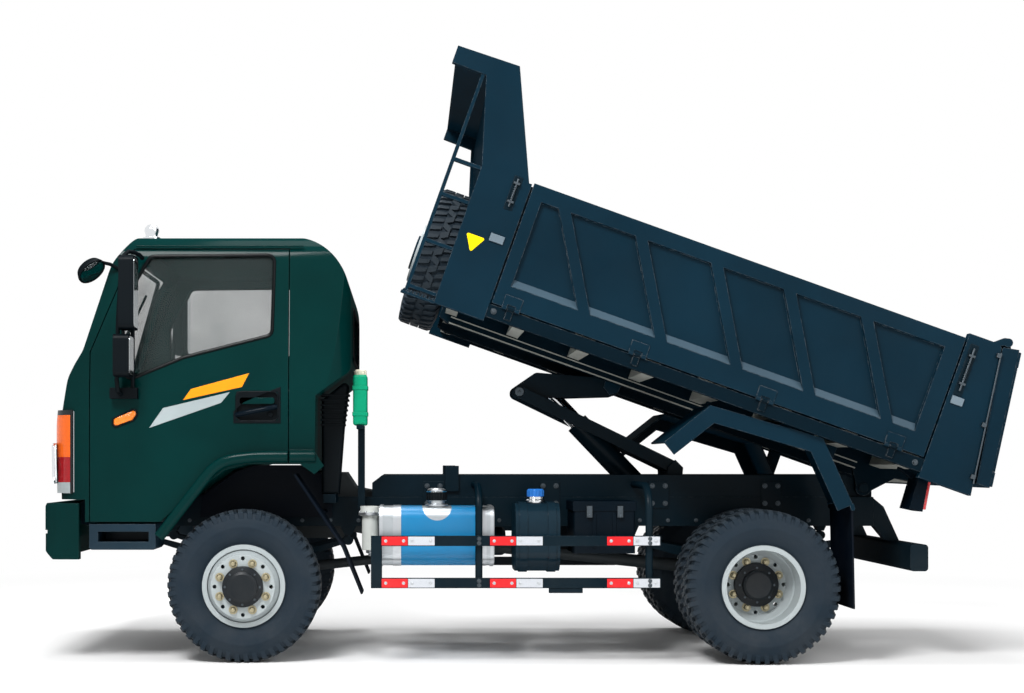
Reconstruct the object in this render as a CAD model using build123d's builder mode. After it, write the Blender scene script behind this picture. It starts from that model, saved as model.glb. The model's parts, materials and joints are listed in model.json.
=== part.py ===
"""Light four-wheel-drive tipper truck, forward-control cab, tipping bed part raised."""
import math
import os

from build123d import *

# Driving sizes in millimetres. +X runs rearwards, +Y to the truck's right, +Z up.
# Lengths along X are counted from the front axle and heights from the ground.
wheelbase = 2860
tyre_radius = 425
tyre_half_width = 116
front_wheel_y = 820
rear_inner_y = 645
rear_outer_y = 915
disc_offset = 135
king_pin_y = 700

rail_in = 300
rail_out = 370
rail_low = 737
rail_top = 907
subframe_top = 1036
frame_front = -960
frame_rear = 3640

cab_half_width = 950
cab_side_in, cab_side_out = cab_half_width - 170, cab_half_width + 50
mirror_y = cab_half_width + 130
cab_wall = 45
cab_pivot = (-985, 945)
pivot_radius = 14
cab_front = -1040
cab_rear = 590
cab_roof = 2374
door_rear = 254
door_gap = 5

bed_half_width = 1085
bed_wall = 45
bed_inside = bed_half_width - bed_wall
floor_half = bed_inside - 10
corner_in, corner_out = bed_inside - 35, bed_inside - 6
tip_rest = 19.7
hinge_back = 3581
hinge_height = 960
floor_low = 1240
floor_top = 1252

bumper_front = -1112
gate_corner = (3938, 1896)

# The X middle of the whole truck lies at the origin.
tilt = math.radians(tip_rest)
tail_reach = (
    hinge_back
    + (gate_corner[0] - hinge_back) * math.cos(tilt)
    + (gate_corner[1] - hinge_height) * math.sin(tilt)
)
front_axle_x = -(bumper_front + tail_reach) / 2
rear_axle_x = front_axle_x + wheelbase
hinge_x = front_axle_x + hinge_back

sides = (("left", -1), ("right", 1))
os.makedirs("parts", exist_ok=True)


def side(sign, near, far):
    """Plane in X and Z on one side; extruding far - near fills that band of Y."""
    start = -near if sign < 0 else far
    return Plane((front_axle_x, start, 0), x_dir=(1, 0, 0), z_dir=(0, -1, 0))


def bed_side(sign, near, far):
    """The same band for the tipped bed, drawn with the bed lowered."""
    start = -near if sign < 0 else far
    along = (math.cos(tilt), 0, -math.sin(tilt))
    x = hinge_x - hinge_back * math.cos(tilt) - hinge_height * math.sin(tilt)
    z = hinge_height + hinge_back * math.sin(tilt) - hinge_height * math.cos(tilt)
    return Plane((x, start, z), x_dir=along, z_dir=(0, -1, 0))


middle = side(-1, 0, 0)
bed_middle = bed_side(-1, 0, 0)


def wheel_plane(sign, x, y):
    """Radial plane of a road wheel: local x is the radius, local y points outboard."""
    return Plane((x, sign * y, tyre_radius), x_dir=(0, 0, 1), z_dir=(-sign, 0, 0))


def tyre_ring(plane):
    """One tyre out to the tips of its lugs."""
    bead, shoulder, tread = 212, 108, 86
    with BuildPart() as ring:
        with BuildSketch(plane):
            with BuildLine():
                Line((bead, -76), (236, -79))
                ThreePointArc((236, -79), (312, -tyre_half_width), (386, -shoulder))
                Line((386, -shoulder), (tyre_radius - 12, -shoulder + 6))
                Line((tyre_radius - 12, -shoulder + 6), (tyre_radius, -tread))
                Line((tyre_radius, -tread), (tyre_radius, tread))
                Line((tyre_radius, tread), (tyre_radius - 12, shoulder - 6))
                Line((tyre_radius - 12, shoulder - 6), (386, shoulder))
                ThreePointArc((386, shoulder), (312, tyre_half_width), (236, 79))
                Line((236, 79), (bead, 76))
                Line((bead, 76), (bead, -76))
            make_face()
        revolve(axis=Axis(plane.origin, plane.y_dir))
    return ring.part


def wheel_disc(plane):
    """Pressed rim and disc; the disc stands out to the local y side."""
    outline = (
        (203, -92), (230, -92), (230, -82), (211.7, -82), (211.7, 82), (230, 82), (230, 92),
        (203, 92), (203, 72), (176, disc_offset), (80, disc_offset), (80, disc_offset - 12),
        (168, disc_offset - 12), (196, 58), (203, 50),
    )
    with BuildPart() as disc:
        with BuildSketch(plane):
            Polygon(*outline, align=None)
        revolve(axis=Axis(plane.origin, plane.y_dir))
        with BuildSketch(Plane(plane.origin, x_dir=plane.x_dir, z_dir=plane.y_dir)):
            with PolarLocations(156, 8):
                Circle(11)
        extrude(amount=disc_offset + 10, mode=Mode.SUBTRACT)
    return disc.part


# Front wheels: tyre, disc wheel with its hub and brake drum, and the steered knuckle.
for name, sign in sides:
    plane = wheel_plane(sign, front_axle_x, front_wheel_y)

    with BuildPart() as front_tyre:
        add(tyre_ring(plane))
    front_tyre.part.label = "front_tyre_" + name
    export_step(front_tyre.part, "parts/front_tyre_" + name + ".step")

    hub_outline = (
        (45.3, -60), (155, -60), (155, 40), (95, 52), (95, disc_offset - 12), (80, disc_offset - 12),
        (80, disc_offset), (112, disc_offset), (112, 158), (84, 166), (84, 186), (70, 192),
        (0, 192), (0, 110), (45.3, 110),
    )
    with BuildPart() as front_wheel:
        add(wheel_disc(plane))
        with BuildSketch(plane):
            Polygon(*hub_outline, align=None)
        revolve(axis=Axis(plane.origin, plane.y_dir))
    front_wheel.part.label = "front_wheel_" + name
    export_step(front_wheel.part, "parts/front_wheel_" + name + ".step")

    with BuildPart() as knuckle:
        with Locations((front_axle_x, sign * king_pin_y, tyre_radius)):
            Cylinder(48, 136)
            Cylinder(20, 236)
        with BuildSketch(plane):
            Polygon((0, 100), (45, 100), (45, -120), (0, -120), align=None)
        revolve(axis=Axis(plane.origin, plane.y_dir))
        with Locations((front_axle_x + 95, sign * (king_pin_y + 6), tyre_radius - 50)):
            Box(150, 36, 28)
    knuckle.part.label = "knuckle_" + name
    export_step(knuckle.part, "parts/knuckle_" + name + ".step")

    # Rear twins turn together on one hub; the outer disc is turned inwards.
    inner = wheel_plane(sign, rear_axle_x, rear_inner_y)
    outer = wheel_plane(sign, rear_axle_x, rear_outer_y)
    outer_turned = Plane(outer.origin, x_dir=(0, 0, 1), z_dir=(sign, 0, 0))

    with BuildPart() as rear_tyres:
        add(tyre_ring(inner))
        add(tyre_ring(outer))
    rear_tyres.part.label = "rear_tyres_" + name
    export_step(rear_tyres.part, "parts/rear_tyres_" + name + ".step")

    meet = rear_inner_y + disc_offset
    hub_plane = wheel_plane(sign, rear_axle_x, meet)
    rear_hub_outline = (
        (55.3, -215), (155, -215), (155, -95), (95, -82), (95, -12), (80, -12), (80, 12),
        (122, 12), (122, 44), (84, 52), (84, 84), (70, 92), (0, 92), (0, -40), (55.3, -40),
    )
    with BuildPart() as rear_wheels:
        add(wheel_disc(inner))
        add(wheel_disc(outer_turned))
        with BuildSketch(hub_plane):
            Polygon(*rear_hub_outline, align=None)
        revolve(axis=Axis(hub_plane.origin, hub_plane.y_dir))
    rear_wheels.part.label = "rear_wheels_" + name
    export_step(rear_wheels.part, "parts/rear_wheels_" + name + ".step")

# Front axle: tube, differential and the yokes that hold the king pins.
axle_centre = (front_axle_x, 0, tyre_radius)
yoke_outline = (
    (560, -60), (615, -112), (724, -112), (724, -74), (646, -74), (646, 74), (724, 74), (724, 112),
    (615, 112), (560, 60),
)
with BuildPart() as front_axle:
    with BuildSketch(Plane(axle_centre, x_dir=(0, 1, 0), z_dir=(1, 0, 0))):
        Polygon(*yoke_outline, align=None)
    extrude(amount=30, both=True)
    mirror(about=Plane.XZ)
    with BuildSketch(Plane(axle_centre, x_dir=(1, 0, 0), z_dir=(0, 1, 0))):
        Circle(55)
    extrude(amount=600, both=True)
    with BuildSketch(Plane((front_axle_x, 150, tyre_radius), x_dir=(1, 0, 0), z_dir=(0, 1, 0))):
        Circle(155)
    extrude(amount=110, both=True, taper=22)
    with Locations(*[(front_axle_x, s * 335, 470) for s in (-1, 1)]):
        Box(150, 90, 40)
    with Locations(*[(front_axle_x, s * king_pin_y, tyre_radius) for s in (-1, 1)]):
        Cylinder(20.3, 300, mode=Mode.SUBTRACT)
front_axle.part.label = "front_axle"
export_step(front_axle.part, "parts/front_axle.step")

rear_centre = (rear_axle_x, 0, tyre_radius)
with BuildPart() as rear_axle:
    with BuildSketch(Plane(rear_centre, x_dir=(1, 0, 0), z_dir=(0, 1, 0))):
        Circle(55)
    extrude(amount=730, both=True)
    with BuildSketch(Plane(rear_centre, x_dir=(1, 0, 0), z_dir=(0, 1, 0))):
        Circle(165)
    extrude(amount=140, both=True, taper=22)
    with Locations(*[(rear_axle_x, s * 335, 470) for s in (-1, 1)]):
        Box(170, 90, 40)
rear_axle.part.label = "rear_axle"
export_step(rear_axle.part, "parts/rear_axle.step")

# Leaf packs, flat over the axle and rising to their eyes below the rails.
spring_rows = ((0, 560, 60), (wheelbase, 640, 90))
with BuildPart() as springs:
    for centre, reach, pack in spring_rows:
        leaf = (
            (centre - 90, 490), (centre + 90, 490), (centre + reach, 640), (centre + reach, 666),
            (centre + 110, 490 + pack), (centre - 110, 490 + pack), (centre - reach, 666),
            (centre - reach, 640),
        )
        for sign in (-1, 1):
            with BuildSketch(side(sign, rail_in, rail_out)):
                Polygon(*leaf, align=None)
                with Locations((centre - reach, 653), (centre + reach, 653)):
                    Circle(28)
            extrude(amount=rail_out - rail_in)
springs.part.label = "leaf_springs"
export_step(springs.part, "parts/leaf_springs.step")

# Ladder frame: two channel rails with hangers, joined by cross members.
hangers = (-560, 560, wheelbase - 640, wheelbase + 640)
with BuildPart() as rails:
    for sign in (-1, 1):
        with BuildSketch(side(sign, rail_in, rail_out)):
            Polygon((frame_front, rail_low), (frame_rear, rail_low), (frame_rear, rail_top),
                    (frame_front, rail_top), align=None)
        extrude(amount=rail_out - rail_in)
        with BuildSketch(side(sign, rail_in, rail_out - 8)):
            Polygon((frame_front, rail_low + 8), (frame_rear, rail_low + 8), (frame_rear, rail_top - 8),
                    (frame_front, rail_top - 8), align=None)
        extrude(amount=rail_out - rail_in - 8, mode=Mode.SUBTRACT)
        with BuildSketch(side(sign, rail_in, rail_out)):
            for x in hangers:
                Polygon((x - 45, rail_low), (x + 45, rail_low), (x + 20, 681), (x - 20, 681), align=None)
            Polygon((bumper_front + 70, 760), (frame_front, 740), (frame_front, rail_top), (-1000, 880),
                    (bumper_front + 70, 860), align=None)
        extrude(amount=rail_out - rail_in)
        with BuildSketch(side(sign, rail_in, rail_out)):
            with Locations(cab_pivot):
                Circle(22)
            Polygon((-1000, 930), (-940, 897), (-900, 897), (-900, rail_top), (-965, 960), align=None)
        extrude(amount=rail_out - rail_in)
        with BuildSketch(side(sign, rail_in, 490)):
            with Locations(cab_pivot):
                Circle(pivot_radius)
        extrude(amount=490 - rail_in)
rails.part.label = "frame_rails"
export_step(rails.part, "parts/frame_rails.step")

# Cross members inside the rails, arms for the tanks and boxes outside them.
cross_rows = (-900, 1020, 1560, 2080, 2505, 3200, 3600)
arm_rows = (
    (-1, 830, 480), (-1, 1310, 480), (-1, 1602, 490), (-1, 1662, 490), (-1, 1900, 480), (-1, 2110, 480),
    (1, 1000, 548), (1, 1400, 548), (1, 1820, 480), (1, 2080, 480),
)
intake_near, intake_far, intake_foot = 560, 690, 930
with BuildPart() as cross:
    for x in cross_rows:
        with Locations((front_axle_x + x, 0, 820)):
            Box(70, 2 * (rail_out - 8), 120)
    for sign, x, reach in arm_rows:
        with Locations((front_axle_x + x, sign * (rail_out + reach) / 2, 800)):
            Box(50, reach - rail_out, 130)
    with Locations((front_axle_x + 465, -(rail_out + intake_far) / 2, intake_foot - 25)):
        Box(70, intake_far - rail_out, 50)
    with BuildSketch(Plane((front_axle_x + 620, 0, 0), x_dir=(0, 1, 0), z_dir=(1, 0, 0))):
        Polygon((-rail_out, 840), (-rail_out, 890), (-450, 890), (-450, 1319.5), (-760, 1319.5),
                (-760, 1300),
                (-480, 1300), (-480, 840), align=None)
    extrude(amount=40)
cross.part.label = "frame_crossmembers"
export_step(cross.part, "parts/frame_crossmembers.step")

# Tipper subframe on the rails, with the bed hinge ears, hoist brackets and their pins.
ground_pin = (2506, 1079)
base_pin = (2380, 885)
with BuildPart() as subframe:
    for sign in (-1, 1):
        with BuildSketch(side(sign, rail_in, rail_out)):
            Polygon((700, rail_top), (3480, rail_top), (3480, subframe_top), (760, subframe_top),
                    (700, 990), align=None)
        extrude(amount=rail_out - rail_in)
        with BuildSketch(side(sign, rail_in, rail_in + 30)):
            Polygon((3480, rail_top), (3640, rail_top), (3640, hinge_height), (3480, subframe_top),
                    align=None)
            with Locations((hinge_back, hinge_height)):
                Circle(50)
        extrude(amount=30)
        with BuildSketch(side(sign, rail_in - 20, rail_out + 10)):
            with Locations((hinge_back, hinge_height)):
                Circle(26)
        extrude(amount=rail_out - rail_in + 30)
    with Locations((front_axle_x + 2505, 0, 955)):
        Box(70, 2 * rail_in, 70)
    with Locations((front_axle_x + 1020, 0, 955), (front_axle_x + 3200, 0, 955)):
        Box(60, 2 * rail_in, 90)
    for sign in (-1, 1):
        with BuildSketch(side(sign, 186, 206)):
            Polygon((2470, 930), (2540, 930), (2552, 1079), (2506, 1125), (2460, 1079), align=None)
        extrude(amount=20)
        with BuildSketch(side(sign, 100, 120)):
            Polygon((2475, 922), (2475, 988), (2400, 970), (2334, 890), (2380, 838), (2425, 850),
                    align=None)
        extrude(amount=20)
    with BuildSketch(middle):
        with Locations(ground_pin):
            Circle(22)
    extrude(amount=206, both=True)
    with BuildSketch(middle):
        with Locations(base_pin):
            Circle(30)
    extrude(amount=120, both=True)
subframe.part.label = "subframe"
export_step(subframe.part, "parts/subframe.step")

# Engine and gearbox as one plain block, then the transfer case and its shafts.
with BuildPart() as engine:
    with BuildSketch(middle):
        Polygon((-300, 660), (520, 660), (560, 700), (900, 640), (900, 900), (600, 960), (540, 1050),
                (-260, 1050), (-300, 1010), align=None)
    extrude(amount=230, both=True)
    for x in (-140, 700):
        with Locations((front_axle_x + x, 0, 800)):
            Box(80, 2 * (rail_out - 8), 60)
engine.part.label = "engine"
export_step(engine.part, "parts/engine.step")

shaft_rows = (
    ((900, 0, 700), (1140, 0, 700), 38),
    ((1420, 0, 600), (2695, 0, 470), 38),
    ((1140, 150, 560), (155, 150, 450), 30),
)
with BuildPart() as driveline:
    with BuildSketch(middle):
        Polygon((1140, 520), (1380, 500), (1420, 560), (1420, 700), (1360, 745), (1140, 745), align=None)
    extrude(amount=190, both=True)
    for start, end, radius in shaft_rows:
        a = Vector(front_axle_x + start[0], start[1], start[2])
        b = Vector(front_axle_x + end[0], end[1], end[2])
        with BuildSketch(Plane(a, z_dir=b - a)):
            Circle(radius)
        extrude(amount=(b - a).length)
driveline.part.label = "driveline"
export_step(driveline.part, "parts/driveline.step")

# Tanks and boxes hung from the left rail, battery and air tanks on the right one.
with BuildPart() as fuel_tank:
    with BuildSketch(Plane((front_axle_x + 749, -690, 699.5), x_dir=(0, 1, 0), z_dir=(1, 0, 0))):
        RectangleRounded(420, 327, 62)
    extrude(amount=640)
    with Locations((front_axle_x + 1071, -760, 872)):
        Cylinder(46, 50)
    with Locations((front_axle_x + 1071, -760, 921)):
        Cylinder(56, 52)
fuel_tank.part.label = "fuel_tank"
export_step(fuel_tank.part, "parts/fuel_tank.step")

with BuildPart() as oil_tank:
    with BuildSketch(Plane((front_axle_x + 1509, -690, 691), x_dir=(0, 1, 0), z_dir=(1, 0, 0))):
        RectangleRounded(400, 378, 110)
    extrude(amount=247)
    for x in (1530, 1690):
        with BuildSketch(Plane((front_axle_x + x, -690, 691), x_dir=(0, 1, 0), z_dir=(1, 0, 0))):
            RectangleRounded(414, 390, 116)
        extrude(amount=45)
    with Locations((front_axle_x + 1632, -700, 900)):
        Cylinder(36, 60)
oil_tank.part.label = "oil_tank"
export_step(oil_tank.part, "parts/oil_tank.step")

box_rows = ((1834, 2176, -860, -480, 603, 888), (1750, 2150, 480, 880, 560, 880))
with BuildPart() as lockers:
    for x0, x1, y0, y1, z0, z1 in box_rows:
        with Locations((front_axle_x + (x0 + x1) / 2, (y0 + y1) / 2, (z0 + z1) / 2)):
            Box(x1 - x0, y1 - y0, z1 - z0)
    fillet(lockers.edges().filter_by(Axis.Z), 14)
lockers.part.label = "lockers"
export_step(lockers.part, "parts/lockers.step")

with BuildPart() as air_tanks:
    for z in (600, 800):
        with BuildSketch(Plane((front_axle_x + 900, 640, z), x_dir=(0, 1, 0), z_dir=(1, 0, 0))):
            Circle(92)
        extrude(amount=640)
    fillet(air_tanks.edges().filter_by(GeomType.CIRCLE), 30)
    with Locations((front_axle_x + 1000, 640, 700), (front_axle_x + 1400, 640, 700)):
        Box(50, 80, 70)
air_tanks.part.label = "air_tanks"
export_step(air_tanks.part, "parts/air_tanks.step")

with BuildPart() as fuel_filter:
    with Locations((front_axle_x + 692, -560, 705)):
        Cylinder(46, 195)
    with Locations((front_axle_x + 692, -560, 830)):
        Cylinder(56, 56)
    with Locations((front_axle_x + 692, -460, 840)):
        Box(40, 180, 30)
fuel_filter.part.label = "fuel_filter"
export_step(fuel_filter.part, "parts/fuel_filter.step")

with BuildPart() as coolant_bottle:
    with Locations((front_axle_x + 640, -680, 1462)):
        Box(80, 150, 285)
    fillet(coolant_bottle.edges(), 14)
    with Locations((front_axle_x + 640, -680, 1615)):
        Cylinder(28, 34)
coolant_bottle.part.label = "coolant_bottle"
export_step(coolant_bottle.part, "parts/coolant_bottle.step")

# Air intake duct that stands behind the cab.
with BuildPart() as air_intake:
    with BuildSketch(side(-1, intake_near, intake_far)) as duct:
        Polygon((420, intake_foot), (520, intake_foot), (548, 1300), (580, 1590), (505, 1532),
                (420, 1462),
                align=None)
        fillet(duct.vertices().sort_by(Axis.Y)[2:], 24)
    extrude(amount=intake_far - intake_near)
    fillet(air_intake.faces().sort_by(Axis.Y)[0].edges(), 18)
air_intake.part.label = "air_intake"
export_step(air_intake.part, "parts/air_intake.step")

# Side guards: two rails, an end post and two bent tubes from the subframe.
guard_rows = ((652, 708), (421, 477))
tube_y, tube_z, bend = 970, 980, 143
with BuildPart() as guards:
    for sign in (-1, 1):
        with BuildSketch(side(sign, 985, 1010)):
            for low, high in guard_rows:
                Polygon((707, low), (2296, low), (2296, high), (707, high), align=None)
            Polygon((707, 421), (768, 421), (768, 708), (707, 708), align=None)
        extrude(amount=25)
        for x in (1300, 2236):
            bend_axis = Axis((front_axle_x + x, sign * (tube_y - bend), tube_z - bend), (-sign, 0, 0))
            with BuildSketch(Plane((front_axle_x + x, sign * rail_out, tube_z), z_dir=(0, sign, 0))):
                Circle(20)
            extrude(amount=tube_y - bend - rail_out)
            with BuildSketch(Plane((front_axle_x + x, sign * (tube_y - bend), tube_z),
                                   z_dir=(0, sign, 0))):
                Circle(20)
            revolve(axis=bend_axis, revolution_arc=90)
            with BuildSketch(Plane((front_axle_x + x, sign * tube_y, tube_z - bend), z_dir=(0, 0, -1))):
                Circle(20)
            extrude(amount=tube_z - bend - 425)
guards.part.label = "side_guards"
export_step(guards.part, "parts/side_guards.step")

with BuildPart() as front_mudguards:
    for sign in (-1, 1):
        with BuildSketch(side(sign, 700, 935)):
            Polygon((278, 1040), (290, 1048), (556, 650), (661, 386), (650, 381), (544, 642), align=None)
        extrude(amount=235)
        with BuildSketch(side(sign, 424, 436)):
            Polygon((-300, 790), (470, 790), (470, 870), (424, 870), (424, 1000), (404, 1046),
                    (318, 1092),
                    (20, 1092), (-96, 1054), (-288, 918), align=None)
        extrude(amount=12)
        with BuildSketch(side(sign, rail_out, 702)):
            with Locations((430, 826)):
                Circle(12)
        extrude(amount=702 - rail_out)
front_mudguards.part.label = "front_mudguards"
export_step(front_mudguards.part, "parts/front_mudguards.step")

# Front bumper: a wrapped shell with a groove between its two bands.
bumper_outline = ((bumper_front + 60, 575), (bumper_front + 8, 620), (bumper_front + 8, 715),
                  (bumper_front + 24, 715), (bumper_front + 24, 735), (bumper_front, 735),
                  (bumper_front, 860), (bumper_front + 20, 885), (-905, 885), (-905, 575))
with BuildPart() as bumper:
    with BuildSketch(middle):
        Polygon(*bumper_outline, align=None)
    extrude(amount=cab_half_width, both=True)
    with BuildSketch(Plane.XY.offset(560)):
        with Locations((front_axle_x + bumper_front + 300, 0)):
            RectangleRounded(600, 2 * cab_half_width, 120)
    extrude(amount=340, mode=Mode.INTERSECT)
    with BuildSketch(Plane.XY.offset(560)):
        with Locations((front_axle_x + bumper_front + 70 + 300, 0)):
            RectangleRounded(600, 2 * cab_half_width - 120, 90)
    extrude(amount=340, mode=Mode.SUBTRACT)
bumper.part.label = "front_bumper"
export_step(bumper.part, "parts/front_bumper.step")

with BuildPart() as cab_steps:
    for sign in (-1, 1):
        with BuildSketch(side(sign, 640, cab_half_width - 5)):
            Polygon((-848, 640), (-836, 628), (-494, 628), (-482, 640), (-482, 770), (-848, 770),
                    align=None)
        extrude(amount=cab_half_width - 645)
        with BuildSketch(side(sign, 700, cab_half_width)):
            Polygon((-800, 672), (-520, 672), (-520, 728), (-800, 728), align=None)
        extrude(amount=cab_half_width - 700, mode=Mode.SUBTRACT)
        with BuildSketch(side(sign, rail_out, 640)):
            Polygon((-760, 700), (-700, 700), (-700, 760), (-760, 760), align=None)
        extrude(amount=640 - rail_out)
cab_steps.part.label = "cab_steps"
export_step(cab_steps.part, "parts/cab_steps.step")

with BuildPart() as rear_bumper:
    with Locations((front_axle_x + 3760, 0, 578)):
        Box(100, 1700, 150)
    fillet(rear_bumper.edges().filter_by(Axis.Y), 20)
    for sign in (-1, 1):
        with BuildSketch(side(sign, rail_in, rail_out)):
            Polygon((3640, 740), (3640, 900), (3700, 850), (3790, 653), (3712, 653), align=None)
        extrude(amount=rail_out - rail_in)
    with Locations((front_axle_x + 3850, 0, 578)):
        Box(90, 110, 110)
    with Locations((front_axle_x + 3870, 0, 578)):
        Box(80, 140, 40, mode=Mode.SUBTRACT)
        Cylinder(16, 200, mode=Mode.SUBTRACT)
rear_bumper.part.label = "rear_bumper"
export_step(rear_bumper.part, "parts/rear_bumper.step")


def cab_volume(inset):
    """Cab outer form drawn in by an even inset: side, front and plan outlines crossed."""
    roof_line = cab_roof + 12
    plan_rear = cab_rear + 10
    profile = (
        (-870, 905), (-1018, 905), (-1035, 1290), (-974, 1575), (-886, 1730), (-735, cab_roof - 159),
        (-600, roof_line), (cab_rear, roof_line), (cab_rear, 1620), (400, 1480), (395, 1060),
        (320, 1100), (20, 1100), (-98, 1068), (-291, 931), (-455, 782), (-870, 782),
    )
    profile_rounds = (
        (-1035, 1290, 300), (-974, 1575, 200), (-886, 1730, 200), (-735, cab_roof - 159, 260),
        (-600, roof_line, 90), (cab_rear, roof_line, 370), (cab_rear, 1620, 60),
    )
    half = cab_half_width
    front = (
        (-half, 700), (half, 700), (half, 1500), (half - 84, cab_roof), (84 - half, cab_roof),
        (-half, 1500),
    )
    front_rounds = ((half - 84, cab_roof, 150), (84 - half, cab_roof, 150))
    with BuildPart() as volume:
        with BuildSketch(middle) as outline:
            Polygon(*profile, align=None)
            for x, z, radius in profile_rounds:
                fillet(outline.vertices().sort_by_distance((x, z, 0))[0], radius)
            if inset:
                offset(amount=-inset, kind=Kind.INTERSECTION)
        extrude(amount=half + 50, both=True)
        with BuildSketch(Plane((front_axle_x - 1200, 0, 0), x_dir=(0, 1, 0), z_dir=(1, 0, 0))) as outline:
            Polygon(*front, align=None)
            for y, z, radius in front_rounds:
                fillet(outline.vertices().sort_by_distance((y, z, 0))[0], radius)
            if inset:
                offset(amount=-inset, kind=Kind.INTERSECTION)
        extrude(amount=2000, mode=Mode.INTERSECT)
        with BuildSketch(Plane.XY.offset(700)):
            with Locations((front_axle_x + (cab_front + plan_rear) / 2, 0)):
                RectangleRounded(plan_rear - cab_front - 2 * inset, 2 * half - 2 * inset, 180 - inset)
        extrude(amount=1800, mode=Mode.INTERSECT)
    return volume.part


door_outline = (
    (-848, 700), (-848, 1720), (-612, 2300), (door_rear, 2300), (door_rear, 1000), (-200, 700),
)
window_outline = ((-655, 1555), (-672, 1985), (-520, 2255), (170, 2262), (158, 1815), (-330, 1690))
flare_outline = (
    (-467, 716), (-142, 1129), (34, 1179), (392, 1179), (447, 1090), (395, 1045), (318, 1100), (20, 1100),
    (-98, 1068), (-291, 931), (-440, 760),
)

screen_foot, screen_head = cab_half_width - 150, cab_half_width - 230

# Cab shell, hollow, with the tunnel over the frame and engine left open below.
cab_outer = cab_volume(0)
cab_inner = cab_volume(cab_wall)
with BuildPart() as room:
    add(cab_inner)
    with Locations((front_axle_x, 0, 700)):
        Box(3000, 980, 800, mode=Mode.SUBTRACT)
with BuildPart() as cab_shell:
    add(cab_outer)
    add(room.part, mode=Mode.SUBTRACT)
    with Locations((front_axle_x, 0, 680)):
        Box(3000, 890, 760, mode=Mode.SUBTRACT)
    for sign in (-1, 1):
        with BuildSketch(side(sign, cab_side_in - 10, cab_side_out + 10)):
            Polygon(*door_outline, align=None)
        extrude(amount=cab_side_out - cab_side_in + 20, mode=Mode.SUBTRACT)
    with BuildSketch(Plane((front_axle_x - 1200, 0, 0), x_dir=(0, 1, 0), z_dir=(1, 0, 0))) as screen:
        Polygon((-screen_foot, 1690), (screen_foot, 1690), (screen_head, 2280), (-screen_head, 2280),
                align=None)
        fillet(screen.vertices(), 50)
    extrude(amount=640, mode=Mode.SUBTRACT)
    with BuildSketch(Plane((front_axle_x + 450, 0, 0), x_dir=(0, 1, 0), z_dir=(1, 0, 0))) as back:
        Polygon((-480, 1700), (480, 1700), (480, 2000), (-480, 2000), align=None)
        fillet(back.vertices(), 50)
    extrude(amount=300, mode=Mode.SUBTRACT)
    for sign in (-1, 1):
        with BuildSketch(side(sign, 440, 500)):
            with Locations(cab_pivot):
                Circle(pivot_radius + 0.3)
        extrude(amount=60, mode=Mode.SUBTRACT)
        with BuildSketch(side(sign, cab_half_width - 20, cab_half_width + 35)):
            Polygon((door_rear + door_gap, 1100), (318, 1100), (395, 1045), (447, 1090), (392, 1179),
                    (door_rear + door_gap, 1179), align=None)
        extrude(amount=55)
cab_shell.part.label = "cab_shell"
export_step(cab_shell.part, "parts/cab_shell.step")

glass_outer = cab_volume(12)
glass_inner = cab_volume(20)
with BuildPart() as panes:
    extrude(screen.sketch, amount=640)
    extrude(back.sketch, amount=300)
with BuildPart() as cab_glass:
    add(glass_outer)
    add(glass_inner, mode=Mode.SUBTRACT)
    add(panes.part, mode=Mode.INTERSECT)
cab_glass.part.label = "cab_glass"
export_step(cab_glass.part, "parts/cab_glass.step")

# Doors cut from the same form, hung at their front edge, each with its pane.
for name, sign in sides:
    with BuildPart() as door:
        add(cab_outer)
        add(cab_inner, mode=Mode.SUBTRACT)
        with BuildSketch(side(sign, cab_side_in, cab_side_out)):
            Polygon(*door_outline, align=None)
            offset(amount=-door_gap, kind=Kind.INTERSECTION)
        extrude(amount=cab_side_out - cab_side_in, mode=Mode.INTERSECT)
        with BuildSketch(side(sign, cab_half_width - 20, cab_half_width + 35)):
            Polygon(*flare_outline, align=None)
            with Locations((-400 + door_rear, 1000)):
                Rectangle(800, 1000, mode=Mode.INTERSECT)
        extrude(amount=55)
        with BuildSketch(side(sign, cab_side_in, cab_side_out)) as light:
            Polygon(*window_outline, align=None)
            fillet(light.vertices(), 40)
        extrude(amount=cab_side_out - cab_side_in, mode=Mode.SUBTRACT)
        with BuildSketch(side(sign, cab_half_width - 16, cab_half_width + 20)):
            with Locations((78, 1420)):
                RectangleRounded(230, 160, 30)
        extrude(amount=36, mode=Mode.SUBTRACT)
        with BuildSketch(side(sign, cab_half_width - 18, cab_half_width + 4)):
            with Locations((78, 1450)):
                RectangleRounded(190, 36, 12)
        extrude(amount=22)
    door.part.label = "door_" + name
    export_step(door.part, "parts/door_" + name + ".step")

    with BuildPart() as door_glass:
        add(glass_outer)
        add(glass_inner, mode=Mode.SUBTRACT)
        pane = extrude(light.sketch, amount=cab_side_out - cab_side_in, mode=Mode.PRIVATE)
        add(pane, mode=Mode.INTERSECT)
    door_glass.part.label = "door_glass_" + name
    export_step(door_glass.part, "parts/door_glass_" + name + ".step")

    with BuildPart() as mirror_arm:
        with Locations((front_axle_x - 650, sign * (mirror_y - 102), 1490)):
            Box(150, 56, 60)
        post = Plane((front_axle_x - 600, sign * (mirror_y - 89), 0), x_dir=(0, sign, 0),
                     z_dir=(sign, 0, 0))
        with BuildLine(post) as rod:
            Line((0, 1490), (0, 2160))
            TangentArc((0, 2160), (-80, 2240), tangent=(0, 1))
            Line((-80, 2240), (-116.7, 2240))
        with BuildSketch(Plane(rod.line @ 0, z_dir=rod.line % 0)):
            Circle(11)
        sweep(path=rod.line)
        for x, z, depth, height in ((-650, 2030, 80, 400), (-680, 1690, 85, 230)):
            with BuildSketch(Plane((front_axle_x + x, sign * mirror_y, z), x_dir=(0, 1, 0),
                                   z_dir=(1, 0, 0))):
                RectangleRounded(165, height, 30)
            extrude(amount=depth)
    mirror_arm.part.label = "mirror_" + name
    export_step(mirror_arm.part, "parts/mirror_" + name + ".step")

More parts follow.
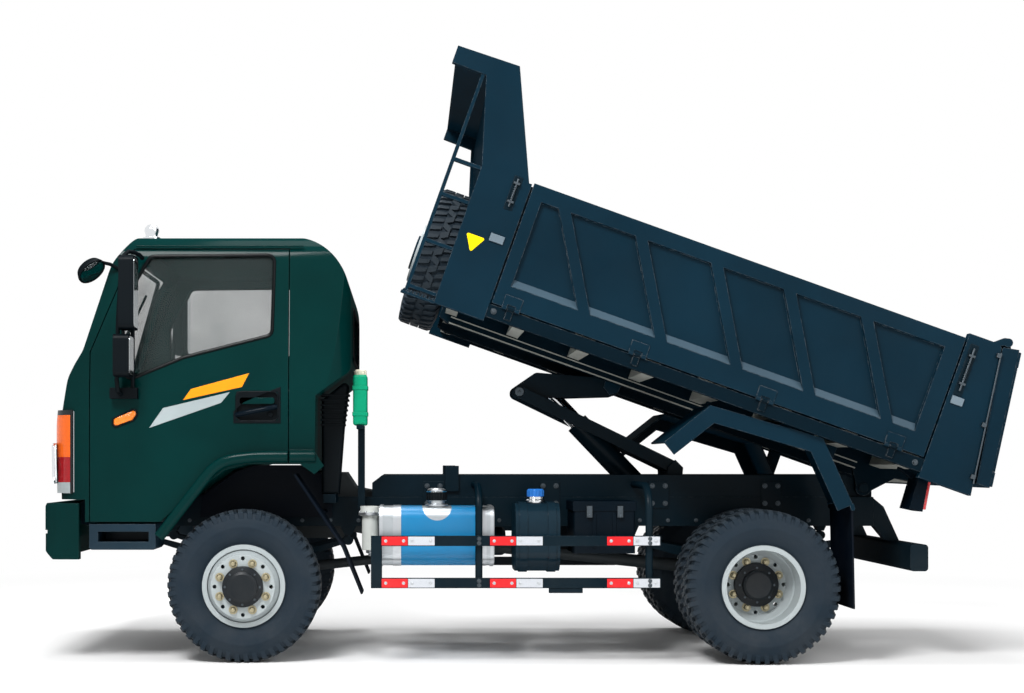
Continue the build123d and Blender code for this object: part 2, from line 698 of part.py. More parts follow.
# Things inside and on the cab.
with BuildPart() as dashboard:
    add(cab_inner)
    with Locations((front_axle_x - 850, 0, 1450)):
        Box(340, 2 * (cab_half_width - cab_wall) - 20, 240, mode=Mode.INTERSECT)
dashboard.part.label = "dashboard"
export_step(dashboard.part, "parts/dashboard.step")

seat_rows = ((-560, 460), (390, 800))
seat_profile = ((30, 1145), (280, 1145), (300, 1330), (400, 1950), (310, 1965), (220, 1420), (-190, 1420),
                (-200, 1330), (30, 1300))
with BuildPart() as seats:
    for y, width in seat_rows:
        with BuildSketch(Plane((front_axle_x, y + width / 2, 0), x_dir=(1, 0, 0), z_dir=(0, -1, 0))):
            Polygon(*seat_profile, align=None)
        extrude(amount=width)
seats.part.label = "seats"
export_step(seats.part, "parts/seats.step")

wheel_centre = Vector(front_axle_x - 430, -560, 1650)
column_foot = Vector(front_axle_x - 600, -560, 827)
with BuildPart() as steering_wheel:
    with BuildSketch(Plane(wheel_centre, x_dir=(0, 1, 0), z_dir=(-0.42, 0, 0.9))):
        Circle(225)
        Circle(193, mode=Mode.SUBTRACT)
        Rectangle(410, 40)
        Circle(60)
    extrude(amount=14, both=True)
    with BuildSketch(Plane(wheel_centre, z_dir=column_foot - wheel_centre)):
        Circle(32)
    extrude(amount=(column_foot - wheel_centre).length - 7)
steering_wheel.part.label = "steering_wheel"
export_step(steering_wheel.part, "parts/steering_wheel.step")

with BuildPart() as headlamps:
    with BuildSketch(side(-1, 0, 0)):
        Polygon((-1046, 940), (-1060, 1290), (-1040, 1400), (-940, 1400), (-940, 940), align=None)
    extrude(amount=cab_half_width + 6, both=True)
    with BuildSketch(Plane.XY.offset(900)):
        with Locations((front_axle_x + cab_front - 22 + 300, 0)):
            RectangleRounded(600, 2 * cab_half_width + 12, 190)
    extrude(amount=600, mode=Mode.INTERSECT)
    with Locations((front_axle_x - 1000, 0, 1150)):
        Box(400, 1300, 700, mode=Mode.SUBTRACT)
    add(cab_outer, mode=Mode.SUBTRACT)
headlamps.part.label = "headlamps"
export_step(headlamps.part, "parts/headlamps.step")

with BuildPart() as grille:
    with BuildSketch(middle):
        Polygon((-1044, 940), (-1058, 1250), (-960, 1250), (-960, 940), align=None)
    extrude(amount=560, both=True)
    add(cab_outer, mode=Mode.SUBTRACT)
grille.part.label = "grille"
export_step(grille.part, "parts/grille.step")

# Tipping bed, drawn lowered on tilted planes: beams, floor, front wall, posts, gates.
hinge_rows = (1260, 1990, 2724, 3464)
gate_hinge_y, gate_hinge_z = bed_half_width + 9, 1167.5
sill_out = bed_half_width - 3
bearer_rows = (960, 1340, 1720, 2100, 2480, 2860, 3240, 3600)
with BuildPart() as bed_beams:
    for sign in (-1, 1):
        with BuildSketch(bed_side(sign, rail_in, rail_out)):
            Polygon((900, 1070), (960, 1048), (3500, 1048), (3920, 1100), (3920, floor_low),
                    (900, floor_low),
                    align=None)
        extrude(amount=rail_out - rail_in)
        with BuildSketch(bed_side(sign, rail_in + 36, rail_out)):
            Polygon((3480, 1050), (3540, 952), (3622, 952), (3740, 1080), (3740, 1100), (3480, 1100),
                    align=None)
            with Locations((hinge_back, hinge_height)):
                Circle(46)
        extrude(amount=rail_out - rail_in - 36)
        with BuildSketch(bed_side(sign, bed_inside, sill_out)):
            Polygon((1142, 1090), (3652, 1090), (3652, 1163), (1142, 1163), align=None)
        extrude(amount=sill_out - bed_inside)
        with BuildSketch(bed_side(sign, rail_in, rail_out + 1)):
            with Locations((hinge_back, hinge_height)):
                Circle(26.3)
        extrude(amount=rail_out - rail_in + 1, mode=Mode.SUBTRACT)
        with BuildSketch(bed_side(sign, sill_out, gate_hinge_y - 3)):
            for x in hinge_rows:
                Polygon((x - 18, 1110), (x + 18, 1110), (x + 18, gate_hinge_z), (x - 18, gate_hinge_z),
                        align=None)
        extrude(amount=gate_hinge_y - 3 - sill_out)
        for x in hinge_rows:
            for reach, radius in ((18, 9), (52, 5)):
                pin = bed_side(sign, gate_hinge_y,
                               gate_hinge_y).from_local_coords((x - reach, gate_hinge_z, 0))
                with BuildSketch(Plane(pin, z_dir=bed_middle.x_dir)):
                    Circle(radius)
                extrude(amount=2 * reach)
bed_beams.part.label = "bed_beams"
export_step(bed_beams.part, "parts/bed_beams.step")

# Bearers across the beams, short ones outside them and four between.
with BuildPart() as bed_bearers:
    for sign in (-1, 1):
        with BuildSketch(bed_side(sign, rail_out, bed_inside)):
            for x in bearer_rows:
                with Locations((x, 1170)):
                    Rectangle(70, 140)
        extrude(amount=bed_inside - rail_out)
    with BuildSketch(bed_middle):
        for x in (960, 2860, 3240, 3860):
            with Locations((x, 1170)):
                Rectangle(70, 140)
    extrude(amount=rail_in, both=True)
bed_bearers.part.label = "bed_bearers"
export_step(bed_bearers.part, "parts/bed_bearers.step")

# Floor plate with the lugs and pin that the hoist lever hangs on.
bed_pin = (2016, 1037)
corner_rows = ((945, 1190), (3600, 3720))
with BuildPart() as bed_floor:
    with BuildSketch(bed_middle):
        Polygon((945, floor_low), (3940, floor_low), (3935, floor_top), (945, floor_top), align=None)
    extrude(amount=floor_half, both=True)
    for sign in (-1, 1):
        with BuildSketch(bed_side(sign, corner_in, corner_out)):
            for start, end in corner_rows:
                Polygon((start, floor_low), (end, floor_low), (end, floor_top), (start, floor_top),
                        align=None)
        extrude(amount=corner_out - corner_in, mode=Mode.SUBTRACT)
    for sign in (-1, 1):
        with BuildSketch(bed_side(sign, 124, 144)):
            Polygon((1950, floor_low), (2090, floor_low), (2060, 1020), (2016, 990), (1970, 1020),
                    align=None)
        extrude(amount=20)
        with BuildSketch(bed_side(sign, 93, 144)):
            with Locations(bed_pin):
                Circle(24)
        extrude(amount=51)
bed_floor.part.label = "bed_floor"
export_step(bed_floor.part, "parts/bed_floor.step")

spare_x, spare_z = 768, 1418
spare_face = spare_x - disc_offset
carrier_rows = ((spare_face - 15, spare_face, 105), (spare_face - 15, 910, 60),
                (spare_face + 12, spare_face + 26, 105))
with BuildPart() as bed_front:
    with BuildSketch(bed_middle):
        Polygon((900, floor_low), (945, floor_low), (945, 1850), (775, 2330), (863, 2400), (863, 2425),
                (509, 2425),
                (509, 2400), (740, 2400), (728, 2322), (900, 1845), align=None)
    extrude(amount=bed_inside + 5, both=True)
    for sign in (-1, 1):
        with BuildSketch(bed_side(sign, bed_inside, bed_half_width)):
            Polygon((855, 1065), (1142, 1065), (1142, 1850), (1125, 1850), (863, 2432), (509, 2425),
                    (509, 2330),
                    (707, 2325), (850, 1857), align=None)
        extrude(amount=bed_wall)
        with BuildSketch(bed_side(sign, corner_in, corner_out)):
            Polygon((940, floor_low), (1190, floor_low), (1190, 1846), (940, 1846), align=None)
        extrude(amount=corner_out - corner_in)
    with BuildSketch(bed_side(-1, bed_half_width - 35, bed_half_width - 5)):
        Polygon((680, 1075), (700, 1075), (700, 2340), (680, 2340), align=None)
        for z in (1110, 1375, 1640, 1840):
            Polygon((690, z - 10), (857, z - 10), (857, z + 10), (690, z + 10), align=None)
    extrude(amount=30)
    for start, end, radius in carrier_rows:
        with BuildSketch(Plane(bed_middle.from_local_coords((start, spare_z, 0)),
                               z_dir=bed_middle.x_dir)):
            Circle(radius)
        extrude(amount=end - start)
bed_front.part.label = "bed_front"
export_step(bed_front.part, "parts/bed_front.step")

with BuildPart() as rear_posts:
    for sign in (-1, 1):
        with BuildSketch(bed_side(sign, bed_inside - 5, bed_half_width)):
            Polygon((3652, 1060), (3954, 1060), (3944, 1130), (3842, 1870), (3826, 1890), (3652, 1890),
                    align=None)
        extrude(amount=bed_wall + 5)
        with BuildSketch(bed_side(sign, corner_in, corner_out)):
            Polygon((3600, floor_low), (3720, floor_low), (3720, 1868), (3600, 1868), align=None)
        extrude(amount=corner_out - corner_in)
        with BuildSketch(bed_side(sign, corner_out, bed_inside)):
            Polygon((3660, floor_top), (3720, floor_top), (3720, 1868), (3660, 1868), align=None)
        extrude(amount=bed_inside - corner_out)
        with BuildSketch(bed_side(sign, bed_half_width - 25, bed_half_width)):
            with Locations((3868, 1912)):
                Circle(24)
            Polygon((3780, 1880), (3826, 1880), (3880, 1900), (3868, 1936), (3840, 1930), align=None)
        extrude(amount=25)
    with BuildSketch(bed_middle):
        with Locations((3868, 1912)):
            Circle(12)
    extrude(amount=bed_half_width, both=True)
rear_posts.part.label = "bed_rear_posts"
export_step(rear_posts.part, "parts/bed_rear_posts.step")

with BuildPart() as tailgate:
    with BuildSketch(bed_middle):
        Polygon((3849, 1868), (3852, 1880), gate_corner, (4037, 1135), (3962, 1135), align=None)
    extrude(amount=bed_half_width - 5, both=True)
    for sign in (-1, 1):
        with BuildSketch(bed_side(sign, bed_half_width - 105, bed_inside)):
            Polygon((3856, 1870), (3920, 1870), (3885, 1930), (3855, 1930), align=None)
            with Locations((3868, 1912)):
                Circle(26)
        extrude(amount=60)
        with BuildSketch(bed_side(sign, bed_half_width - 115, bed_inside + 10)):
            with Locations((3868, 1912)):
                Circle(12.3)
        extrude(amount=80, mode=Mode.SUBTRACT)
tailgate.part.label = "tailgate"
export_step(tailgate.part, "parts/tailgate.step")

rib_tops = (1357, 1800, 2236, 2656, 3102)
gate_skin = bed_inside + 18
for name, sign in sides:
    with BuildPart() as gate:
        with BuildSketch(bed_side(sign, bed_inside, gate_skin)):
            Polygon((1152, 1172), (3642, 1172), (3642, 1860), (1152, 1860), align=None)
        extrude(amount=gate_skin - bed_inside)
        with BuildSketch(bed_side(sign, gate_skin, bed_half_width)):
            Polygon((1152, 1172), (3642, 1172), (3642, 1290), (1152, 1290), align=None)
            Polygon((1152, 1775), (3642, 1775), (3642, 1860), (1152, 1860), align=None)
            Polygon((1152, 1172), (1222, 1172), (1222, 1860), (1152, 1860), align=None)
            Polygon((3548, 1172), (3642, 1172), (3642, 1860), (3548, 1860), align=None)
            for x in rib_tops:
                Polygon((x - 36, 1776), (x + 36, 1776), (x + 321, 1289), (x + 249, 1289), align=None)
        extrude(amount=bed_half_width - gate_skin)
        with BuildSketch(bed_side(sign, bed_half_width, gate_hinge_y - 3)):
            for x in hinge_rows:
                Polygon((x - 50, gate_hinge_z), (x - 23, gate_hinge_z), (x - 23, 1190), (x + 23, 1190),
                        (x + 23, gate_hinge_z), (x + 50, gate_hinge_z), (x + 50, 1240), (x - 50, 1240),
                        align=None)
        extrude(amount=gate_hinge_y - 3 - bed_half_width)
        for x in hinge_rows:
            for start in (x - 50, x + 23):
                pin = bed_side(sign, gate_hinge_y,
                               gate_hinge_y).from_local_coords((start, gate_hinge_z, 0))
                with BuildSketch(Plane(pin, z_dir=bed_middle.x_dir)):
                    Circle(9)
                extrude(amount=27)
                with BuildSketch(Plane(pin, z_dir=bed_middle.x_dir)):
                    Circle(5.3)
                extrude(amount=27, mode=Mode.SUBTRACT)
    gate.part.label = "side_gate_" + name
    export_step(gate.part, "parts/side_gate_" + name + ".step")

# Spare wheel clamped on the carrier of the front wall.
spare_spot = bed_middle.from_local_coords((spare_x, spare_z, 0))
spare_plane = Plane(spare_spot, x_dir=(0, 1, 0), z_dir=bed_middle.y_dir)
with BuildPart() as spare_tyre:
    add(tyre_ring(spare_plane))
spare_tyre.part.label = "spare_tyre"
export_step(spare_tyre.part, "parts/spare_tyre.step")

with BuildPart() as spare_rim:
    add(wheel_disc(spare_plane))
spare_rim.part.label = "spare_rim"
export_step(spare_rim.part, "parts/spare_rim.step")

# Rear mudguards on the bed, with plumb rubber flaps below them.
guard_line = ((2292, 776), (2464, 1051), (3102, 1089), (3378, 802))
guard_inner = ((3310, 742), (3064, 997), (2516, 966), (2368, 730))
flap_pin = (3336, 858)
with BuildPart() as bed_mudguards:
    for sign in (-1, 1):
        with BuildSketch(bed_side(sign, 1036, 1050)):
            Polygon(*guard_line, *guard_inner, align=None)
        extrude(amount=14)
        with BuildSketch(bed_side(sign, 560, 1036)):
            Polygon(*guard_line, (3370, 795), (3097, 1079), (2470, 1041), (2301, 771), align=None)
        extrude(amount=476)
        with BuildSketch(bed_side(sign, 640, 700)):
            Polygon((2500, 1046), (2560, 1050), (2560, 1100), (2500, 1100), align=None)
            Polygon((3205, 1100), (3205, 970), (3225, 950), (3275, 900), (3275, 1100), align=None)
        extrude(amount=60)
        for near, far in ((560, 568), (1040, 1050)):
            with BuildSketch(side(sign, near, far)):
                with Locations(flap_pin):
                    Circle(12)
                Polygon((3316, 884), (3342, 886), (3347, 856), (3325, 856), align=None)
            extrude(amount=far - near)
        with BuildSketch(side(sign, 560, 1050)):
            with Locations(flap_pin):
                Circle(7)
        extrude(amount=490)
bed_mudguards.part.label = "bed_mudguards"
export_step(bed_mudguards.part, "parts/bed_mudguards.step")

with BuildPart() as mud_flaps:
    for sign in (-1, 1):
        with BuildSketch(side(sign, 574, 1034)):
            Polygon((3331, 858), (3341, 858), (3352, 309), (3342, 309), align=None)
            with Locations(flap_pin):
                Circle(14)
                Circle(7.3, mode=Mode.SUBTRACT)
        extrude(amount=460)
mud_flaps.part.label = "mud_flaps"
export_step(mud_flaps.part, "parts/mud_flaps.step")

with BuildPart() as tail_lamps:
    for sign in (-1, 1):
        with BuildSketch(bed_side(sign, 780, 960)):
            Polygon((3690, 1090), (3745, 1090), (3775, 900), (3700, 890), align=None)
        extrude(amount=180)
        with BuildSketch(bed_side(sign, 820, 860)):
            Polygon((3600, 1100), (3705, 1088), (3705, 1055), (3600, 1090), align=None)
        extrude(amount=40)
tail_lamps.part.label = "tail_lamps"
export_step(tail_lamps.part, "parts/tail_lamps.step")

# Lever hoist in the middle plane, drawn as it stands with the bed part raised.
lever_spot = bed_middle.from_local_coords((bed_pin[0], bed_pin[1], 0))
lever_bed = (lever_spot.X - front_axle_x, lever_spot.Z)
lever_link = (1576, 1532)
lever_ram = (1690, 1610)
with BuildPart() as hoist_lever:
    for sign in (-1, 1):
        with BuildSketch(side(sign, 96, 116)) as plate:
            with Locations(lever_bed):
                Circle(52)
            with Locations(lever_link, lever_ram):
                Circle(40)
            make_hull(plate.edges())
            with Locations(lever_bed):
                Circle(24.3, mode=Mode.SUBTRACT)
        extrude(amount=20)
    with BuildSketch(middle):
        with Locations(lever_link):
            Circle(24)
    extrude(amount=150, both=True)
hoist_lever.part.label = "hoist_lever"
export_step(hoist_lever.part, "parts/hoist_lever.step")

with BuildPart() as pull_rod:
    for sign in (-1, 1):
        with BuildSketch(side(sign, 156, 180)) as bar:
            with Locations(ground_pin, lever_link):
                Circle(36)
            make_hull(bar.edges())
            with Locations(ground_pin):
                Circle(22.3, mode=Mode.SUBTRACT)
        extrude(amount=24)
pull_rod.part.label = "pull_rod"
export_step(pull_rod.part, "parts/pull_rod.step")

ram_start = Vector(front_axle_x + base_pin[0], 0, base_pin[1])
ram_end = Vector(front_axle_x + lever_ram[0], 0, lever_ram[1])
ram_line = Plane(ram_start, x_dir=(0, 1, 0), z_dir=ram_end - ram_start)
ram_length = (ram_end - ram_start).length
with BuildPart() as barrel:
    with BuildSketch(ram_line.offset(40)):
        Circle(70)
    extrude(amount=600)
    with BuildSketch(ram_line.offset(80)):
        Circle(48)
    extrude(amount=600, mode=Mode.SUBTRACT)
    with BuildSketch(side(-1, -64, 64)):
        with Locations(base_pin):
            Circle(46)
    extrude(amount=128)
    with BuildSketch(side(-1, -100, 100)):
        with Locations(base_pin):
            Circle(30.3)
    extrude(amount=200, mode=Mode.SUBTRACT)
barrel.part.label = "ram_barrel"
export_step(barrel.part, "parts/ram_barrel.step")

with BuildPart() as ram_rod:
    with BuildSketch(ram_line.offset(ram_length - 700)):
        Circle(47.5)
    extrude(amount=675)
    with BuildSketch(side(-1, -60, 60)):
        with Locations(lever_ram):
            Circle(40)
    extrude(amount=120)
    with BuildSketch(side(-1, -70, 70)):
        with Locations(lever_ram):
            Circle(22)
    extrude(amount=140, mode=Mode.SUBTRACT)
ram_rod.part.label = "ram_rod"
export_step(ram_rod.part, "parts/ram_rod.step")
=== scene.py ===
import json
import math

import bmesh
import bpy
from mathutils import Matrix, Vector


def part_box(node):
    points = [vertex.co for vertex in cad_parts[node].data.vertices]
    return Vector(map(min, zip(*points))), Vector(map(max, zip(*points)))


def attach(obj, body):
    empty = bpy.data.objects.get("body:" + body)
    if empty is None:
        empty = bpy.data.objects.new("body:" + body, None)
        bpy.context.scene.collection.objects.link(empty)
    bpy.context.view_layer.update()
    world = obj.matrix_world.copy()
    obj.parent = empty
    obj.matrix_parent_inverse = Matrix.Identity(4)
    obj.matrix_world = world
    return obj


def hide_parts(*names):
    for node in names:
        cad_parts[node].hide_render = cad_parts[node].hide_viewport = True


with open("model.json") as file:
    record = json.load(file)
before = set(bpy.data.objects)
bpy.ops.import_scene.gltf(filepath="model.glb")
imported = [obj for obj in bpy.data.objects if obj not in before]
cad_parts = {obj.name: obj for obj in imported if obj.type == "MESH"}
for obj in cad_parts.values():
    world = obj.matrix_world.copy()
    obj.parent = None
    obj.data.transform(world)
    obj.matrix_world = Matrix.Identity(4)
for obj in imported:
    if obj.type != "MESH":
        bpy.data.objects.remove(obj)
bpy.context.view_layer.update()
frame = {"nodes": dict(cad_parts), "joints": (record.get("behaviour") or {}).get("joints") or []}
nodes = frame["nodes"]
joints = {joint["name"]: joint for joint in frame["joints"]}
scene = bpy.context.scene
scene.view_settings.view_transform = "Standard"

# Places that every piece hangs on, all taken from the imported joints.
frontAxle = Vector(joints["spin_front_left"]["pos_m"])
rearAxle = Vector(joints["spin_rear_left"]["pos_m"])
bedHinge = Vector(joints["bed_tip"]["pos_m"])
bedAlong = Vector(joints["side_gate_left_drop"]["axis"]).normalized()  # rearwards along the bed floor
bedUp = Vector((-bedAlong.z, 0, bedAlong.x))
wheelRadius = frontAxle.z
hingeFromAxle = bedHinge.x - frontAxle.x
rearward, rightward, upward = Vector((1, 0, 0)), Vector((0, 1, 0)), Vector((0, 0, 1))
sideRows = (("left", "l", -1), ("right", "r", 1))
bothSides = (-1, 1)
fullTurn = 2 * math.pi


def truckPoint(x, y, z):
    # metres rearwards of the front axle, to the right, and above the ground
    return Vector((frontAxle.x + x, y, z))


def bedPoint(x, y, z):
    # the same, written for the lowered bed, and carried up to its rest tilt
    flat = bedAlong * (x - hingeFromAxle) + bedUp * (z - bedHinge.z)
    return Vector((bedHinge.x, y, bedHinge.z)) + flat


# Shader helpers
def fill(tree, made, inputs):
    # links sockets and sets plain values
    for key, value in inputs.items():
        if isinstance(value, bpy.types.NodeSocket):
            tree.links.new(value, made.inputs[key])
        else:
            made.inputs[key].default_value = value


def addNode(tree, kind, inputs=None, **settings):
    made = tree.nodes.new(kind)
    for key, value in settings.items():
        setattr(made, key, value)
    fill(tree, made, inputs or {})
    return made


def groupNode(tree, group, **values):
    return addNode(tree, "ShaderNodeGroup", values, node_tree=group)


def math2(tree, operation, first, second=0.5, clamp=False):
    made = addNode(tree, "ShaderNodeMath", {0: first, 1: second}, operation=operation, use_clamp=clamp)
    return made.outputs[0]


def times(tree, first, second):
    return math2(tree, "MULTIPLY", first, second)


def vector2(tree, operation, first, second=(0, 0, 0)):
    made = addNode(tree, "ShaderNodeVectorMath", {0: first, 1: second}, operation=operation)
    return made.outputs["Value" if operation in ("DOT_PRODUCT", "LENGTH") else 0]


def scaleColor(tree, color, factor):
    made = addNode(tree, "ShaderNodeVectorMath", {0: color[:3], "Scale": factor}, operation="SCALE")
    return made.outputs[0]


def mapRange(tree, value, low=0.0, high=1.0, toLow=0.0, toHigh=1.0, **settings):
    inputs = {"Value": value, "From Min": low, "From Max": high, "To Min": toLow, "To Max": toHigh}
    return addNode(tree, "ShaderNodeMapRange", inputs, **settings).outputs[0]


def noise(tree, place, scale, detail, roughness=0.5):
    inputs = {"Vector": place, "Scale": scale, "Detail": detail, "Roughness": roughness}
    return addNode(tree, "ShaderNodeTexNoise", inputs).outputs[0]


def objectPlace(tree):
    return addNode(tree, "ShaderNodeTexCoord").outputs["Object"]


def placeParts(tree):
    return addNode(tree, "ShaderNodeSeparateXYZ", {0: objectPlace(tree)}).outputs


def ribLines(tree, scale, direction="Z"):
    inputs = {"Vector": objectPlace(tree), "Scale": scale, "Distortion": 0.0}
    return addNode(tree, "ShaderNodeTexWave", inputs, bands_direction=direction).outputs["Fac"]


def flatReach(tree, centre):
    # distance from a line that runs across the truck
    arm = vector2(tree, "SUBTRACT", objectPlace(tree), tuple(centre))
    return vector2(tree, "LENGTH", vector2(tree, "MULTIPLY", arm, (1, 0, 1)))


def mixColor(tree, factor, first, second):
    made = addNode(tree, "ShaderNodeMix", data_type="RGBA")
    for socket, value in (("Factor", factor), ("A", first), ("B", second)):
        target = [s for s in made.inputs if s.name == socket and s.enabled][0]
        if isinstance(value, bpy.types.NodeSocket):
            tree.links.new(value, target)
        else:
            target.default_value = value
    return [s for s in made.outputs if s.enabled][0]


def addBump(tree, surface, strength, distance, height, normal=None):
    inputs = {"Strength": strength, "Distance": distance, "Height": height}
    if normal is not None:
        inputs["Normal"] = normal
    bump = addNode(tree, "ShaderNodeBump", inputs).outputs[0]
    tree.links.new(bump, surface.inputs["Normal"])
    return bump


def seenRay(tree):
    # one for rays that show a thing directly, by reflection or through glass
    path = addNode(tree, "ShaderNodeLightPath").outputs
    bounced = math2(tree, "MAXIMUM", path["Is Glossy Ray"], path["Is Transmission Ray"])
    return math2(tree, "MAXIMUM", path["Is Camera Ray"], bounced)


socketKinds = {1: "NodeSocketFloat", 3: "NodeSocketVector", 4: "NodeSocketColor"}


def newGroup(name, inputs, outputs):
    tree = bpy.data.node_groups.new(name, "ShaderNodeTree")
    for label, value in inputs.items():
        kind = socketKinds[len(value) if isinstance(value, tuple) else 1]
        tree.interface.new_socket(label, in_out="INPUT", socket_type=kind).default_value = value
    for label, size in outputs.items():
        tree.interface.new_socket(label, in_out="OUTPUT", socket_type=socketKinds[size])
    return tree, tree.nodes.new("NodeGroupInput").outputs, tree.nodes.new("NodeGroupOutput").inputs


def shade(r, g, b):
    # screen colour, 0 to 255, to linear
    linear = [(c / 255 / 12.92) if c <= 10 else ((c / 255 + 0.055) / 1.055) ** 2.4 for c in (r, g, b)]
    return (*linear, 1)


# Road dust: settles low down and in soft patches.
dustGroup, given, out = newGroup(
    "roadDust",
    {"Paint": (0.1, 0.1, 0.1, 1), "Dust": shade(120, 116, 108), "Amount": 0.2, "Below": 0.9, "Scale": 3.0},
    {"Color": 4, "Mask": 1})
place = objectPlace(dustGroup)
low = mapRange(dustGroup, placeParts(dustGroup)["Z"], given["Below"], 0.1)
patchy = mapRange(dustGroup, noise(dustGroup, place, given["Scale"], 6.0, 0.65), 0.35, 0.75)
speckled = mapRange(dustGroup, noise(dustGroup, place, 260.0, 2.0), 0.3, 0.7, 0.6)
settled = math2(dustGroup, "ADD", times(dustGroup, low, 0.8), 0.2)
mask = times(dustGroup, times(dustGroup, settled, patchy), speckled)
mask = math2(dustGroup, "MULTIPLY", mask, given["Amount"], clamp=True)
dustGroup.links.new(mixColor(dustGroup, mask, given["Paint"], given["Dust"]), out["Color"])
dustGroup.links.new(mask, out["Mask"])

# Edge wear and painted highlight: paint thinned along corners, broken up by noise; the paler tone there also stands
# in for light catching the edges.
wearAndHighlightGroup, given, out = newGroup(
    "edgeWearAndHighlight", {"Width": 0.004, "Amount": 0.4, "Scale": 40.0}, {"Mask": 1, "Normal": 3})
rounded = addNode(wearAndHighlightGroup, "ShaderNodeBevel", {"Radius": given["Width"]}, samples=4).outputs[0]
flatNormal = addNode(wearAndHighlightGroup, "ShaderNodeNewGeometry").outputs["Normal"]
corner = mapRange(wearAndHighlightGroup, vector2(wearAndHighlightGroup, "DOT_PRODUCT", rounded, flatNormal), 0.985, 0.86)
breakUp = noise(wearAndHighlightGroup, objectPlace(wearAndHighlightGroup), given["Scale"], 5.0, 0.7)
broken = times(wearAndHighlightGroup, corner, mapRange(wearAndHighlightGroup, breakUp, 0.42, 0.62))
wearAndHighlightGroup.links.new(math2(wearAndHighlightGroup, "MULTIPLY", broken, given["Amount"], clamp=True), out["Mask"])
wearAndHighlightGroup.links.new(rounded, out["Normal"])

# Fine grain: paint peel, cast skin or moulded plastic as a height, and a wide drift of tone.
grainGroup, given, out = newGroup("fineGrain", {"Scale": 300.0, "Stretch": (1, 1, 1)}, {"Height": 1, "Tone": 1})
place = objectPlace(grainGroup)
stretched = vector2(grainGroup, "MULTIPLY", place, given["Stretch"])
grainGroup.links.new(noise(grainGroup, stretched, given["Scale"], 4.0), out["Height"])
grainGroup.links.new(noise(grainGroup, place, 2.2, 3.0), out["Tone"])

looks = {}


def startMaterial(name):
    looks[name] = bpy.data.materials.new(name)
    looks[name].use_nodes = True
    tree = looks[name].node_tree
    return tree, tree.nodes["Principled BSDF"]


# Paints, rubbers and plastics: "below" is the height under which dust settles.
paintSet = {"wornAndHighlit": shade(128, 134, 138), "toneLow": 0.86, "toneHigh": 1.14, "dustRough": 0.5,
            "bumpDepth": 0.002, "coatRough": 0.6, "coatIndex": 4.0}
finishColumns = ("color", "rough", "gloss", "dust", "below", "wearAndHighlight", "edge", "grain", "bump")
finishes = {
    "cabGreen": (shade(0, 37, 36), 0.22, 0.014, 0.015, 1.0, 0.05, 0.006, 160, 0.012),
    # the bed's wide pale edges are mostly a painted highlight along its corners
    "bedNavy": (shade(6, 32, 45), 0.38, 0.016, 0.04, 0.9, 0.5, 0.006, 220, 0.05),
    # the bed's navy darkened for the beams: painted shade under the bed
    "shadedBeamNavy": (shade(3, 19, 28), 0.45, 0.01, 0.04, 0.9, 0.45, 0.006, 220, 0.05),
    # pale navy for the gate ledges: a painted highlight along them
    "highlitLedgeNavy": (shade(58, 76, 88), 0.42, 0.02, 0.06, 0.9, 0.2, 0.004, 220, 0.05),
    # pale grey for the bearers under the bed, and for the strips painted as highlights along the beam flanges
    "paleGrey": (shade(150, 152, 146), 0.6, 0.03, 0.15, 1.4, 0.1, 0.004, 220, 0.08),
    "chassisBlack": (shade(4, 22, 31), 0.5, 0.015, 0.08, 1.0, 0.2, 0.004, 180, 0.08),
    "stepGrey": (shade(20, 40, 52), 0.5, 0.03, 0.12, 0.9, 0.3, 0.004, 220, 0.08),
    "boxBlack": (shade(3, 14, 23), 0.36, 0.012, 0.06, 0.95, 0.12, 0.004, 200, 0.06),
    "tankBlack": (shade(16, 36, 47), 0.24, 0.025, 0.06, 0.95, 0.06, 0.004, 120, 0.03),
    "castIron": (shade(46, 52, 55), 0.62, 0.03, 0.2, 1.1, 0.1, 0.004, 90, 0.2),
    "trimBlack": (shade(6, 12, 16), 0.7, 0.015, 0.03, 0.9, 0.05, 0.004, 600, 0.12),
    "cabinGrey": (shade(66, 68, 70), 0.7, 0.02, 0.0, 0.5, 0.0, 0.004, 500, 0.14),
    "flapRubber": (shade(4, 12, 22), 0.6, 0.012, 0.1, 0.9, 0.0, 0.004, 120, 0.1),
    "sealRubber": (shade(8, 12, 14), 0.5, 0.02, 0.02, 0.5, 0.0, 0.004, 300, 0.05),
    "filterWhite": (shade(206, 210, 206), 0.35, 0.08, 0.2, 1.0, 0.0, 0.004, 120, 0.03),
    "bottleGreen": (shade(4, 136, 100), 0.35, 0.03, 0.03, 0.8, 0.0, 0.004, 80, 0.03),
    "capCream": (shade(226, 220, 200), 0.45, 0.06, 0.06, 1.0, 0.0, 0.004, 300, 0.05),
    "capBlue": (shade(34, 108, 190), 0.4, 0.06, 0.1, 1.0, 0.05, 0.004, 300, 0.05),
    "signYellow": (shade(246, 214, 0), 0.45, 0.04, 0.04, 0.9, 0.0, 0.004, 200, 0.02),
    "stripeGold": (shade(232, 140, 18), 0.4, 0.04, 0.03, 0.9, 0.0, 0.004, 200, 0.02),
    "stripeSilver": (shade(146, 156, 158), 0.4, 0.06, 0.03, 0.9, 0.0, 0.004, 200, 0.02),
    "tabGrey": (shade(98, 112, 122), 0.45, 0.04, 0.1, 0.9, 0.1, 0.004, 200, 0.03),
}
